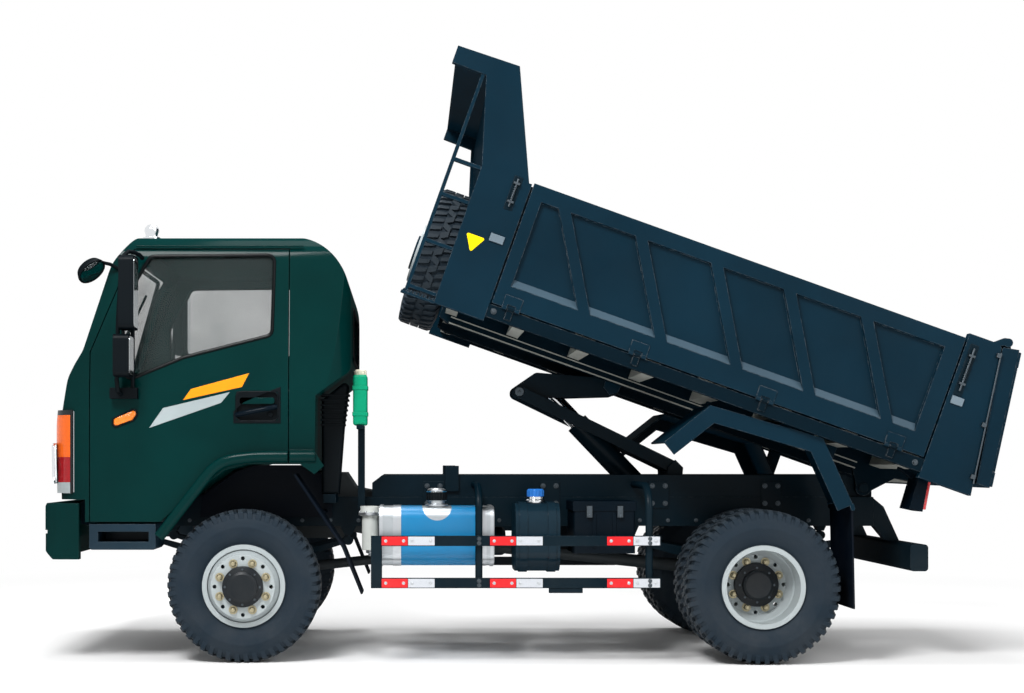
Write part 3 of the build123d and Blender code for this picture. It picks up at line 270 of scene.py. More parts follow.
for name, row in finishes.items():
    f = dict(zip(finishColumns, row))
    tree, surface = startMaterial(name)
    grain = groupNode(tree, grainGroup, Scale=f["grain"]).outputs
    tone = mapRange(tree, grain["Tone"], 0.3, 0.7, paintSet["toneLow"], paintSet["toneHigh"])
    wearAndHighlight = groupNode(tree, wearAndHighlightGroup, Amount=f["wearAndHighlight"], Width=f["edge"]).outputs
    # corners take a paler tone: partly worn paint, partly a painted highlight
    wornAndHighlit = mixColor(tree, wearAndHighlight["Mask"], scaleColor(tree, f["color"], tone), paintSet["wornAndHighlit"])
    dust = groupNode(tree, dustGroup, Paint=wornAndHighlit, Amount=f["dust"], Below=f["below"]).outputs
    dusty = times(tree, dust["Mask"], paintSet["dustRough"])
    bump = addBump(tree, surface, f["bump"], paintSet["bumpDepth"], grain["Height"], wearAndHighlight["Normal"])
    # a weak coat of high index stays dark where a wall is seen edge on
    fill(tree, surface, {
        "Base Color": dust["Color"], "Roughness": math2(tree, "ADD", dusty, f["rough"], clamp=True),
        "Specular IOR Level": 0.0, "Coat Weight": f["gloss"], "Coat IOR": paintSet["coatIndex"],
        "Coat Roughness": f["rough"] * paintSet["coatRough"], "Coat Normal": bump})

# Metals: colour, roughness, dust and grain of each, brushed one way.
metalSet = {"brush": (1, 8, 1), "edge": 0.002, "below": 1.0, "roughLow": 0.7, "roughHigh": 1.35,
            "bump": 0.04, "bumpDepth": 0.001}
metals = {
    "zincNut": (shade(158, 150, 124), 0.42, 0.12, 400),
    "bareSteel": (shade(186, 190, 194), 0.36, 0.12, 240),
    "brightTrim": (shade(226, 229, 232), 0.12, 0.03, 200),
    "darkSteel": (shade(74, 82, 88), 0.42, 0.16, 200),
    "chromeRod": (shade(220, 222, 224), 0.08, 0.02, 160),
}
for name, (color, rough, dusty, scale) in metals.items():
    tree, surface = startMaterial(name)
    height = groupNode(tree, grainGroup, Scale=scale, Stretch=metalSet["brush"]).outputs["Height"]
    wearAndHighlight = groupNode(tree, wearAndHighlightGroup, Amount=0.0, Width=metalSet["edge"]).outputs
    dust = groupNode(tree, dustGroup, Paint=color, Amount=dusty, Below=metalSet["below"]).outputs
    addBump(tree, surface, metalSet["bump"], metalSet["bumpDepth"], height, wearAndHighlight["Normal"])
    smooth, coarse = rough * metalSet["roughLow"], rough * metalSet["roughHigh"]
    fill(tree, surface, {
        "Base Color": dust["Color"], "Roughness": mapRange(tree, height, toLow=smooth, toHigh=coarse),
        "Metallic": math2(tree, "SUBTRACT", 1.0, dust["Mask"], clamp=True)})
print("paints and metals ready:", len(looks))


# Tyre rubber: paler on the tread face, with fine rings on the sidewalls.
def tyreRubber(name, centre, axis):
    tree, surface = startMaterial(name)
    arm = vector2(tree, "SUBTRACT", objectPlace(tree), tuple(centre))
    along = vector2(tree, "DOT_PRODUCT", arm, tuple(axis))
    square = vector2(tree, "DOT_PRODUCT", arm, arm)
    radius = math2(tree, "SQRT", math2(tree, "SUBTRACT", square, times(tree, along, along)))
    tread = mapRange(tree, radius, wheelRadius - 0.02, wheelRadius - 0.001)
    tone = mixColor(tree, times(tree, tread, 0.35), shade(24, 36, 46), shade(60, 66, 70))
    dust = groupNode(tree, dustGroup, Paint=tone, Amount=0.14, Below=0.9, Scale=5.0, Dust=shade(110, 108, 104))
    rings = times(tree, math2(tree, "SINE", times(tree, radius, 900.0)), 0.12)
    grain = groupNode(tree, grainGroup, Scale=420.0)
    addBump(tree, surface, 0.18, 0.002, math2(tree, "ADD", rings, grain.outputs["Height"]))
    fill(tree, surface, {"Base Color": dust.outputs["Color"], "Roughness": 0.62, "Specular IOR Level": 0.12})


# Wheel silver with the hub painted black inside a given radius.
def wheelSilver(name, centre, hubRadius):
    tree, surface = startMaterial(name)
    hub = math2(tree, "LESS_THAN", flatReach(tree, centre), hubRadius)
    tone = mixColor(tree, hub, shade(158, 166, 168), shade(10, 18, 24))
    dust = groupNode(tree, dustGroup, Paint=tone, Amount=0.12, Below=0.9, Scale=6.0)
    grain = groupNode(tree, grainGroup, Scale=260.0)
    wearAndHighlight = groupNode(tree, wearAndHighlightGroup, Amount=0.0, Width=0.003)
    addBump(tree, surface, 0.06, 0.002, grain.outputs["Height"], wearAndHighlight.outputs["Normal"])
    fill(tree, surface, {"Base Color": dust.outputs["Color"], "Roughness": 0.36, "Specular IOR Level": 0.2})


# Glass for the cab: thin, slightly green, mostly clear.
def windowGlass(name, tint, alpha):
    tree, surface = startMaterial(name)
    smear = groupNode(tree, grainGroup, Scale=9.0).outputs
    fill(tree, surface, {
        "Base Color": tint, "IOR": 1.45, "Roughness": mapRange(tree, smear["Height"], toLow=0.01, toHigh=0.06),
        "Alpha": mapRange(tree, smear["Tone"], 0.3, 0.7, alpha, alpha + 0.1)})


# Silvered glass with a faint smear.
def mirrorGlass(name, tint):
    tree, surface = startMaterial(name)
    smear = groupNode(tree, grainGroup, Scale=14.0).outputs
    fill(tree, surface, {"Base Color": tint, "Metallic": 1.0,
                         "Roughness": mapRange(tree, smear["Height"], toLow=0.02, toHigh=0.07)})


# Lamp lens: coloured clear plastic with moulded ribs.
def lampLens(name, color, ribs):
    tree, surface = startMaterial(name)
    lines = ribLines(tree, ribs)
    dark = tuple(c * 0.45 for c in color[:3]) + (1,)
    addBump(tree, surface, 0.3, 0.002, lines)
    fill(tree, surface, {"Base Color": mixColor(tree, times(tree, lines, 0.35), color, dark),
                         "Roughness": 0.15, "Specular IOR Level": 0.6})


# Corner lamp block: bands of colour up its outer corner, clear across the front, dark behind.
def cornerLamp(name, corner, rearEdge, bands):
    tree, surface = startMaterial(name)
    parts = placeParts(tree)
    outer = math2(tree, "GREATER_THAN", math2(tree, "ABSOLUTE", parts["Y"]), corner)
    back = math2(tree, "GREATER_THAN", parts["X"], rearEdge)
    lines = ribLines(tree, 45.0)
    tone = shade(150, 158, 160)
    for height, color in bands:
        tone = mixColor(tree, times(tree, math2(tree, "GREATER_THAN", parts["Z"], height), outer), tone, color)
    tone = mixColor(tree, times(tree, back, outer), tone, shade(12, 16, 18))
    addBump(tree, surface, 0.3, 0.002, lines)
    fill(tree, surface, {"Base Color": mixColor(tree, times(tree, lines, 0.3), tone, shade(24, 28, 30)),
                         "Roughness": 0.18, "Specular IOR Level": 0.25})


# Reflective tape: fine honeycomb under a clear skin.
def reflectTape(name, color):
    tree, surface = startMaterial(name)
    inputs = {"Vector": objectPlace(tree), "Scale": 130.0}
    cells = addNode(tree, "ShaderNodeTexVoronoi", inputs, feature="DISTANCE_TO_EDGE").outputs[0]
    toned = scaleColor(tree, color, mapRange(tree, cells, 0.0, 0.05, 0.82, 1.0))
    dust = groupNode(tree, dustGroup, Paint=toned, Amount=0.12, Below=0.9)
    fill(tree, surface, {"Base Color": dust.outputs["Color"], "Roughness": 0.3, "Specular IOR Level": 0.4})


# Blue film round the fuel tank, left bare at the tank's ends and round its filler.
def tankFilm(name, start, end, filler, radius):
    tree, surface = startMaterial(name)
    along = placeParts(tree)["X"]
    film = times(tree, math2(tree, "GREATER_THAN", along, start), math2(tree, "LESS_THAN", along, end))
    film = times(tree, film, math2(tree, "GREATER_THAN", flatReach(tree, filler), radius))
    grain = groupNode(tree, grainGroup, Scale=60.0, Stretch=(1, 1, 6)).outputs
    blue = mixColor(tree, grain["Tone"], shade(0, 100, 150), shade(0, 124, 176))
    tone = mixColor(tree, film, shade(176, 182, 186), blue)
    dust = groupNode(tree, dustGroup, Paint=tone, Amount=0.14, Below=0.95)
    wearAndHighlight = groupNode(tree, wearAndHighlightGroup, Amount=0.0, Width=0.004)
    addBump(tree, surface, 0.1, 0.003, grain["Height"], wearAndHighlight.outputs["Normal"])
    fill(tree, surface, {
        "Base Color": dust.outputs["Color"], "Metallic": times(tree, math2(tree, "SUBTRACT", 1.0, film), 0.85),
        "Roughness": mapRange(tree, grain["Height"], toLow=0.22, toHigh=0.42), "Specular IOR Level": 0.4})


# Woven seat cloth.
def seatCloth(name, color):
    tree, surface = startMaterial(name)
    weave = times(tree, ribLines(tree, 220.0, "Y"), ribLines(tree, 220.0, "Z"))
    pale = tuple(min(1, c * 1.7) for c in color[:3]) + (1,)
    addBump(tree, surface, 0.35, 0.001, weave)
    fill(tree, surface, {"Base Color": mixColor(tree, weave, color, pale), "Roughness": 0.9, "Sheen Weight": 0.3})


windowGlass("clearGlass", shade(52, 64, 64), 0.2)
mirrorGlass("mirrorFace", shade(214, 220, 224))
lampLens("lensOrange", shade(240, 122, 8), 60.0)
lampLens("lensRed", shade(196, 14, 20), 70.0)
lampLens("lensClear", shade(214, 220, 222), 50.0)
lampBands = ((1.000, shade(150, 14, 22)), (1.140, shade(226, 96, 14)), (1.372, shade(20, 26, 28)))
cornerLamp("cornerLamp", 0.80, frontAxle.x - 0.955, lampBands)
reflectTape("tapeRed", shade(226, 12, 22))
reflectTape("tapeWhite", shade(186, 190, 196))
seatCloth("seatCloth", shade(64, 68, 72))
tankLow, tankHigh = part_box("fuel_tank")
tankFilm("tankFilm", tankLow.x + 0.085, tankHigh.x - 0.1, truckPoint(1.072, 0, 0.870), 0.082)
spareSpot = bedPoint(0.768, 0, 1.418)
for tag, centre, axis, hubRadius in (("Front", frontAxle, rightward, 0.1135), ("Rear", rearAxle, rightward, 0.1235),
                                     ("Spare", spareSpot, bedAlong, 0.0)):
    wheelSilver("wheel" + tag, centre, hubRadius)
    tyreRubber("tyre" + tag, centre, axis)

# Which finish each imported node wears.
nodeLooks = {
    "cabGreen": ("cab_shell", "door_left", "door_right", "front_bumper"),
    "bedNavy": ("bed_floor", "bed_front", "bed_rear_posts", "tailgate", "side_gate_left", "side_gate_right",
                "bed_mudguards"),
    "paleGrey": ("bed_bearers",),
    "shadedBeamNavy": ("bed_beams",),
    "chassisBlack": ("frame_rails", "frame_crossmembers", "subframe", "front_axle", "rear_axle", "leaf_springs",
                     "knuckle_left", "knuckle_right", "side_guards", "rear_bumper", "hoist_lever", "pull_rod",
                     "ram_barrel"),
    "stepGrey": ("cab_steps",),
    "flapRubber": ("mud_flaps", "front_mudguards"),
    "clearGlass": ("cab_glass", "door_glass_left", "door_glass_right"),
    "trimBlack": ("air_intake", "grille", "mirror_left", "mirror_right", "steering_wheel"),
    "cabinGrey": ("dashboard",),
    "seatCloth": ("seats",),
    "cornerLamp": ("headlamps",),
    "boxBlack": ("lockers", "tail_lamps"),
    "tankBlack": ("oil_tank", "air_tanks"),
    "tankFilm": ("fuel_tank",),
    "filterWhite": ("fuel_filter",),
    "bottleGreen": ("coolant_bottle",),
    "castIron": ("engine", "driveline"),
    "chromeRod": ("ram_rod",),
    "wheelFront": ("front_wheel_left", "front_wheel_right"),
    "wheelRear": ("rear_wheels_left", "rear_wheels_right"),
    "wheelSpare": ("spare_rim",),
    "tyreFront": ("front_tyre_left", "front_tyre_right"),
    "tyreRear": ("rear_tyres_left", "rear_tyres_right"),
    "tyreSpare": ("spare_tyre",),
}
for look, members in nodeLooks.items():
    for member in members:
        slots = nodes[member].data.materials
        slots.clear()
        slots.append(looks[look])
print("packed nodes dressed")


# Mesh helpers: every piece is made in the truck's own frame, in metres.
def skinRows(bm, rows, around=True, along=False):
    # quads between rows of vertices; around closes each row, along joins the last row to the first
    for here, there in zip(rows, rows[1:] + (rows[:1] if along else [])):
        count = len(here)
        for k in range(count if around else count - 1):
            m = (k + 1) % count
            bm.faces.new((here[k], here[m], there[m], there[k]))


def capEnds(bm, rows):
    bm.faces.new(list(reversed(rows[0])))
    bm.faces.new(rows[-1])


def circle(bm, centre, first, second, radius, steps):
    turns = [fullTurn * k / steps for k in range(steps)]
    return [bm.verts.new(centre + (first * math.cos(a) + second * math.sin(a)) * radius) for a in turns]


def sweepRing(bm, profile, centre, axis, start, steps, close=True):
    # turns (radius, along) points about an axis
    axis = Vector(axis).normalized()
    start = Vector(start).normalized()
    side = axis.cross(start)
    rings = []
    for step in range(steps):
        angle = fullTurn * step / steps
        out = start * math.cos(angle) + side * math.sin(angle)
        rings.append([bm.verts.new(centre + out * r + axis * a) for r, a in profile])
    skinRows(bm, rings, around=close, along=True)


def addTurned(bm, spot, axis, profile, steps=28):
    # turned form from (radius, along) points
    sweepRing(bm, profile, Vector(spot), axis, Vector(axis).orthogonal(), steps, close=False)


def addPlate(bm, outline, origin, right, up, depth):
    # flat outline pushed out along right x up
    out = right.cross(up).normalized() * depth
    near = [bm.verts.new(origin + right * x + up * y) for x, y in outline]
    far = [bm.verts.new(v.co + out) for v in near]
    capEnds(bm, [near, far])
    skinRows(bm, [near, far])


def addBox(bm, spots):
    # six faces over eight corners
    verts = [bm.verts.new(s) for s in spots]
    for face in ((0, 2, 3, 1), (4, 5, 7, 6), (0, 1, 5, 4), (2, 6, 7, 3), (0, 4, 6, 2), (1, 3, 7, 5)):
        bm.faces.new([verts[i] for i in face])


def addBar(bm, low, high, place=truckPoint):
    # a squared bar between two corners, in truck or bed places
    addBox(bm, [place(x, y, z) for z in (low[2], high[2]) for y in (low[1], high[1]) for x in (low[0], high[0])])


def sideBar(bm, sign, along, across, upright, place=truckPoint):
    # a bar given for the right side, mirrored where sign is negative
    near, far = sorted((sign * across[0], sign * across[1]))
    addBar(bm, (along[0], near, upright[0]), (along[1], far, upright[1]), place)


def addBolt(bm, spot, axis, radius, height, sides=6):
    # washer, hexagon head with a chamfered top
    axis = Vector(axis).normalized()
    start = axis.orthogonal()
    rim, foot = radius * 1.5, height * 0.2
    washer = [(0.0, 0.0), (rim, 0.0), (rim, foot), (radius, foot)]
    head = [(radius, foot), (radius, height * 0.85), (radius * 0.82, height), (0.0, height)]
    for part, steps in ((washer, 16), (head, sides)):
        sweepRing(bm, part, spot, axis, start, steps, close=False)


def addTube(bm, points, radius, steps=10):
    # round tube along a line of points
    points = [Vector(p) for p in points]
    rings = []
    normal = None
    for i, point in enumerate(points):
        before = points[max(i - 1, 0)]
        after = points[min(i + 1, len(points) - 1)]
        tangent = (after - before).normalized()
        normal = tangent.orthogonal() if normal is None else (normal - tangent * normal.dot(tangent))
        normal.normalize()
        rings.append(circle(bm, point, normal, tangent.cross(normal), radius, steps))
    skinRows(bm, rings)
    capEnds(bm, rings)


def addLoop(bm, spots, up, radius, steps=8):
    # round beading along a closed flat loop
    rings = []
    for i, spot in enumerate(spots):
        tangent = (spots[(i + 1) % len(spots)] - spots[i - 1]).normalized()
        other = tangent.cross(up).normalized()
        rings.append(circle(bm, spot, other.cross(tangent), other, radius, steps))
    skinRows(bm, rings, along=True)


def roundOutline(points, radius, steps=5):
    # closed outline with every corner turned into an arc
    rounded = []
    for i, corner in enumerate(points):
        here = Vector(corner)
        before = (Vector(points[i - 1]) - here).normalized()
        after = (Vector(points[(i + 1) % len(points)]) - here).normalized()
        turn = before.angle(after) / 2
        centre = here + (before + after).normalized() * (radius / math.sin(turn))
        reach = radius / math.tan(turn)
        first = here + before * reach - centre
        last = here + after * reach - centre
        swing = first.angle_signed(last)
        for step in range(steps + 1):
            arc = first.copy()
            arc.rotate(Matrix.Rotation(-swing * step / steps, 2))
            rounded.append(tuple(centre + arc))
    return rounded


def finishPiece(name, bm, look, body, bevel=0.0, segments=2, sharp=35):
    bmesh.ops.remove_doubles(bm, verts=bm.verts, dist=1e-6)
    bmesh.ops.recalc_face_normals(bm, faces=bm.faces)
    mesh = bpy.data.meshes.new(name)
    bm.to_mesh(mesh)
    bm.free()
    piece = bpy.data.objects.new(name, mesh)
    scene.collection.objects.link(piece)
    mesh.materials.append(looks[look])
    mesh.shade_smooth()
    mesh.set_sharp_from_angle(angle=math.radians(sharp))
    if bevel:
        rounding = piece.modifiers.new("rounding", "BEVEL")
        rounding.width = bevel
        rounding.segments = segments
        rounding.limit_method = "ANGLE"
        rounding.harden_normals = True
    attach(piece, body)
    return piece


# Tyres with shoulder lugs, a broken centre rib and ringed sidewalls.
tyreSet = {
    "lugs": 50, "crown": 0.086, "shoulder": 0.108, "groove": 0.015, "lugShare": 0.60, "lugInner": 0.030,
    "skew": 0.45, "centreHalf": 0.024, "taper": 0.86, "sharp": 28, "rearTwins": (0.645, 0.915),
}


def addTyre(bm, centre, axis, start):
    t = tyreSet
    base = wheelRadius - t["groove"]
    half = [(0.2122, 0.076), (0.226, 0.0815), (0.236, 0.080), (0.248, 0.089), (0.272, 0.1035), (0.300, 0.112),
            (0.318, 0.1145), (0.322, 0.1159), (0.330, 0.1159), (0.334, 0.1146), (0.352, 0.1125), (0.372, 0.1075),
            (0.388, 0.101), (base - 0.006, 0.093), (base, 0.076)]
    profile = [(r, -a) for r, a in half] + [(r, a) for r, a in reversed(half)]
    sweepRing(bm, profile, centre, axis, start, t["lugs"] * 3)
    axis = Vector(axis).normalized()
    start = Vector(start).normalized()
    side = axis.cross(start)
    pitch = fullTurn / t["lugs"]

    def spot(angle, radius, along):
        return centre + (start * math.cos(angle) + side * math.sin(angle)) * radius + axis * along

    def lug(stations):
        # stations run across the tread: (mid angle, half angle, top radius, low radius, along)
        rows = []
        for middle, width, top, foot, along in stations:
            slim = width * t["taper"]
            corners = ((middle - width, foot), (middle - slim, top), (middle + slim, top), (middle + width, foot))
            rows.append([bm.verts.new(spot(a, r, along)) for a, r in corners])
        skinRows(bm, rows, around=False)
        capEnds(bm, rows)

    wide = pitch * t["lugShare"] / 2
    foot = base - 0.004
    lugRows = ((0.0, t["lugInner"], wheelRadius - 0.0005, foot), (0.4, 0.056, wheelRadius, foot),
               (0.72, t["crown"], wheelRadius - 0.0015, base - 0.008), (0.88, 0.102, wheelRadius - 0.012, 0.394),
               (1.0, t["shoulder"] - 0.0005, 0.386, 0.372))
    for i in range(t["lugs"]):
        for hand in bothSides:
            middle = pitch * (i + 0.25 * hand)
            lean = hand * pitch * t["skew"]
            lug([(middle + lean * (1 - share), wide * (0.72 + 0.28 * share), top, low, hand * along)
                 for share, along, top, low in lugRows])
        middle = pitch * i
        zig = pitch * 0.24 * (1 if i % 2 else -1)
        lug([(middle + zig, pitch * 0.40, wheelRadius, foot, -t["centreHalf"]),
             (middle, pitch * 0.43, wheelRadius, foot, 0.0),
             (middle - zig, pitch * 0.40, wheelRadius, foot, t["centreHalf"])])


for name, letter, sign in sideRows:
    bm = bmesh.new()
    addTyre(bm, Vector((frontAxle.x, sign * abs(frontAxle.y), frontAxle.z)), rightward, upward)
    tyre = finishPiece("roadTyreFront_" + name, bm, "tyreFront", "wheel_f" + letter,
                       sharp=tyreSet["sharp"])
    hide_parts("front_tyre_" + name)
    bm = bmesh.new()
    for reach in tyreSet["rearTwins"]:
        addTyre(bm, Vector((rearAxle.x, sign * reach, rearAxle.z)), rightward, upward)
    tyre = finishPiece("roadTyresRear_" + name, bm, "tyreRear", "wheels_r" + letter,
                       sharp=tyreSet["sharp"])
    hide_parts("rear_tyres_" + name)
bm = bmesh.new()
addTyre(bm, spareSpot, bedAlong, rightward)
tyre = finishPiece("spareTyreTread", bm, "tyreSpare", "bed", sharp=tyreSet["sharp"])
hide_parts("spare_tyre")
print("tyres made")

# Wheel nuts and hub bolts: each wheel has a face for the nuts and a cap face further out.
nutSet = {"circle": 0.1375, "count": 8, "radius": 0.0165, "height": 0.026, "stud": 0.009, "studReach": 0.038}
capBoltSet = {"circle": 0.096, "count": 8, "radius": 0.0075, "height": 0.012, "sunk": 0.0035}
hubRows = (("front", frontAxle, "wheel_f", 0.955, 0.978), ("rear", rearAxle, "wheels_r", 0.792, 0.824))


def boltCircle(bm, middle, sign, s, turn):
    # a ring of bolts on an upright face, turned by a share of their pitch
    spots = []
    for i in range(s["count"]):
        angle = fullTurn * (i + turn) / s["count"]
        spots.append(middle + Vector((math.cos(angle), 0, math.sin(angle))) * s["circle"])
        addBolt(bm, spots[-1], (0, sign, 0), s["radius"], s["height"])
    return spots


for name, letter, sign in sideRows:
    for tag, axle, body, face, capFace in hubRows:
        bm = bmesh.new()
        for spot in boltCircle(bm, Vector((axle.x, sign * face, axle.z)), sign, nutSet, 0.5):
            addTube(bm, [spot, spot + rightward * (sign * nutSet["studReach"])], nutSet["stud"])
        finishPiece("wheelNuts_" + tag + "_" + name, bm, "zincNut", body + letter)
        bm = bmesh.new()
        boltCircle(bm, Vector((axle.x, sign * (capFace - capBoltSet["sunk"]), axle.z)), sign, capBoltSet, 0.0)
        finishPiece("hubBolts_" + tag + "_" + name, bm, "darkSteel", body + letter)
print("wheel fastenings made")

# Side guards: red and white tape panels, riveted, with a drop plate below.
guardSet = {
    "face": 1.0101, "thick": 0.0018, "rails": ((0.656, 0.704), (0.425, 0.473)),
    "rivet": (0.006, 0.004, 10), "rivetInset": 0.022, "posts": (1.300, 2.236), "postFace": 1.010,
    "bolt": (0.008, 0.010), "boltInset": 0.012, "drop": ((1.682, 1.868), (0.990, 1.006), (0.394, 0.4215)),
    "tapeRed": ((0.766, 0.908), (1.360, 1.501), (2.001, 2.142)),
    "tapeWhite": ((0.911, 1.056), (1.504, 1.648), (2.145, 2.290)),
}
rivets = bmesh.new()
panelFace = guardSet["face"] + guardSet["thick"]
for look in ("tapeRed", "tapeWhite"):
    bm = bmesh.new()
    for sign in bothSides:
        for low, high in guardSet["rails"]:
            for start, end in guardSet[look]:
                sideBar(bm, sign, (start, end), (guardSet["face"], panelFace), (low, high))
                for x in (start + guardSet["rivetInset"], end - guardSet["rivetInset"]):
                    spot = truckPoint(x, sign * panelFace, (low + high) / 2)
                    addBolt(rivets, spot, (0, sign, 0), *guardSet["rivet"])
    finishPiece("guardPanels_" + look, bm, look, "chassis", bevel=0.0008, segments=1)
finishPiece("guardRivets", rivets, "bareSteel", "chassis")
bolts = bmesh.new()
drops = bmesh.new()
for sign in bothSides:
    for x in guardSet["posts"]:
        for low, high in guardSet["rails"]:
            for z in (low + guardSet["boltInset"], high - guardSet["boltInset"]):
                addBolt(bolts, truckPoint(x, sign * guardSet["postFace"], z), (0, sign, 0), *guardSet["bolt"])
    sideBar(drops, sign, *guardSet["drop"])
finishPiece("guardBolts", bolts, "darkSteel", "chassis")
finishPiece("guardDropPlates", drops, "chassisBlack", "chassis", bevel=0.003)
print("side guards dressed")

# Corner lamps: chrome edge trims, front lamp bezels and lenses.
lampSet = {
    "trim": ((-0.9385, -0.9265), (0.926, 0.934), (0.946, 1.394)), "front": -1.0655, "slope": 0.02, "level": 1.290,
    "wrap": 0.10, "wrapFrom": 0.82, "bezel": ((0.675, 1.000), (0.905, 1.000), (0.905, 1.210), (0.675, 1.210)),
    "corner": 0.03, "bead": 0.009, "lensFace": 0.004, "lensBack": 0.016,
}


def lampSpot(y, z):
    # on the lamp block's front, which leans back and wraps round the corner
    wrap = lampSet["wrap"] * max(0.0, abs(y) - lampSet["wrapFrom"])
    return truckPoint(lampSet["front"] + lampSet["slope"] * (lampSet["level"] - z) + wrap, y, z)


trims = bmesh.new()
rim = bmesh.new()
lens = bmesh.new()
for sign in bothSides:
    sideBar(trims, sign, *lampSet["trim"])
    outline = roundOutline([(sign * y, z) for y, z in lampSet["bezel"]], lampSet["corner"])
    spots = [lampSpot(y, z) for y, z in outline]
    addLoop(rim, spots, rearward, lampSet["bead"])
    face, back = [[lens.verts.new(p + rearward * lampSet[key]) for p in spots] for key in ("lensFace", "lensBack")]
    lens.faces.new(face if sign > 0 else list(reversed(face)))
    skinRows(lens, [face, back])
finishPiece("lampTrims", trims, "brightTrim", "cab", bevel=0.002)
finishPiece("headlampBezels", rim, "brightTrim", "cab")
finishPiece("headlampLenses", lens, "lensClear", "cab")

# Grille slats
grilleSet = {"slats": 6, "low": 0.965, "pitch": 0.048, "tall": 0.020, "half": 0.552, "face": -1.0455, "lean": 0.045,
             "leanFrom": 0.940, "proud": 0.013, "uprights": (-0.552, -0.184, 0.172, 0.540), "uprightWide": 0.012}
bm = bmesh.new()
half = grilleSet["half"]
for i in range(grilleSet["slats"]):
    z = grilleSet["low"] + i * grilleSet["pitch"]
    face = grilleSet["face"] - grilleSet["lean"] * (z - grilleSet["leanFrom"])
    addBar(bm, (face - grilleSet["proud"], -half, z), (face + 0.002, half, z + grilleSet["tall"]))
face = grilleSet["face"]
for y in grilleSet["uprights"]:
    addBar(bm, (face - 0.024, y, 0.952), (face - 0.004, y + grilleSet["uprightWide"], 1.238))
finishPiece("grilleSlats", bm, "trimBlack", "cab", bevel=0.003)
print("cab front dressed")

# Cab side skin, drawn in above the waist.
cabSet = {"halfWidth": 0.950, "waist": 1.500, "lean": 0.084 / 0.874}


def sideSkin(z):
    return cabSet["halfWidth"] - cabSet["lean"] * max(0.0, z - cabSet["waist"])


def cabSpot(x, z, sign, lift):
    return truckPoint(x, sign * (sideSkin(z) + lift), z)


# Doors: plain stripes, handle bowl and lever, side marker, window seal and mirror fittings.
doorSet = {
    "stripeGold": ((-0.330, 1.454), (-0.286, 1.515), (0.034, 1.603), (-0.005, 1.526)),
    "stripeSilver": ((-0.517, 1.300), (-0.440, 1.410), (-0.071, 1.498), (-0.121, 1.438)),
    "stripeLift": 0.0004, "stripeThick": 0.0008,
    "bowl": ((-0.037, 1.340), (0.193, 1.340), (0.193, 1.500), (-0.037, 1.500)),
    "bowlMiddle": (0.078, 1.420), "bowlFloor": 0.9348,
    "trim": ((-0.052, 1.326), (0.208, 1.326), (0.208, 1.528), (0.004, 1.441), (-0.052, 1.390)),
    "trimLifts": (-0.002, 0.004, 0.004, -0.004),
    "lock": (0.150, 0.9355, 1.375), "lockForm": ((0.016, 0), (0.016, 0.006), (0.012, 0.009), (0, 0.009)),
    "lever": ((-0.036, 1.372, -0.004), (-0.020, 1.376, 0.012), (0.020, 1.384, 0.018), (0.120, 1.404, 0.018),
              (0.165, 1.413, 0.012), (0.182, 1.417, -0.004)),
    "marker": ((-0.716, 1.302), (-0.602, 1.344), (-0.584, 1.372), (-0.586, 1.408), (-0.716, 1.350)),
    "markerMiddle": (-0.650, 1.353), "markerShrink": 0.8,
    "window": ((-0.655, 1.555), (-0.672, 1.985), (-0.520, 2.255), (0.170, 2.262), (0.158, 1.815), (-0.330, 1.690)),
    "mirrors": ((-0.569, 2.030, 0.400), (-0.594, 1.690, 0.230)), "mirrorHalf": 0.072, "mirrorReach": 1.080,
    "mirrorInset": 0.012,
    "mirrorTube": ((-0.660, 0.995, 1.480), (-0.672, 1.050, 1.500), (-0.676, 1.060, 1.560), (-0.668, 1.060, 1.900),
                   (-0.652, 1.060, 2.180), (-0.640, 1.055, 2.235), (-0.618, 1.035, 2.262), (-0.590, 0.990, 2.262),
                   (-0.568, 0.950, 2.252), (-0.560, 0.915, 2.240)),
}


def edgePoint(outline, centre, angle):
    # where a ray from the centre leaves a convex outline
    way = Vector((math.cos(angle), math.sin(angle)))
    for first, second in zip(outline, outline[1:] + outline[:1]):
        edge = Vector(second) - Vector(first)
        gap = Vector(first) - Vector(centre)
        turn = way.x * edge.y - way.y * edge.x
        if abs(turn) < 1e-9:
            continue
        reach = (gap.x * edge.y - gap.y * edge.x) / turn
        along = (gap.x * way.y - gap.y * way.x) / turn
        if reach > 0 and 0 <= along <= 1:
            return Vector(centre) + way * reach
    return Vector(centre)


def addFrame(bm, outer, inner, centre, sign, steps=96):
    # flat frame between two outlines on the door skin
    rings = []
    for outline, lift in zip((outer, outer, inner, inner), doorSet["trimLifts"]):
        spots = [edgePoint(outline, centre, fullTurn * (k + 0.5) / steps) for k in range(steps)]
        rings.append([bm.verts.new(cabSpot(spot.x, spot.y, sign, lift)) for spot in spots])
    skinRows(bm, rings, along=True)


def addStripe(bm, outline, sign):
    # thin film folded over the waist
    bm.faces.new([bm.verts.new((x, 0, z)) for x, z in outline])
    everything = bm.verts[:] + bm.edges[:] + bm.faces[:]
    bmesh.ops.bisect_plane(bm, geom=everything, plane_co=(0, 0, cabSet["waist"]), plane_no=(0, 0, 1))
    skin = bm.faces[:]
    for vert in bm.verts:
        vert.co = cabSpot(vert.co.x, vert.co.z, sign, doorSet["stripeLift"])
    made = bmesh.ops.extrude_face_region(bm, geom=skin)["geom"]
    for vert in [g for g in made if isinstance(g, bmesh.types.BMVert)]:
        vert.co.y += sign * doorSet["stripeThick"]


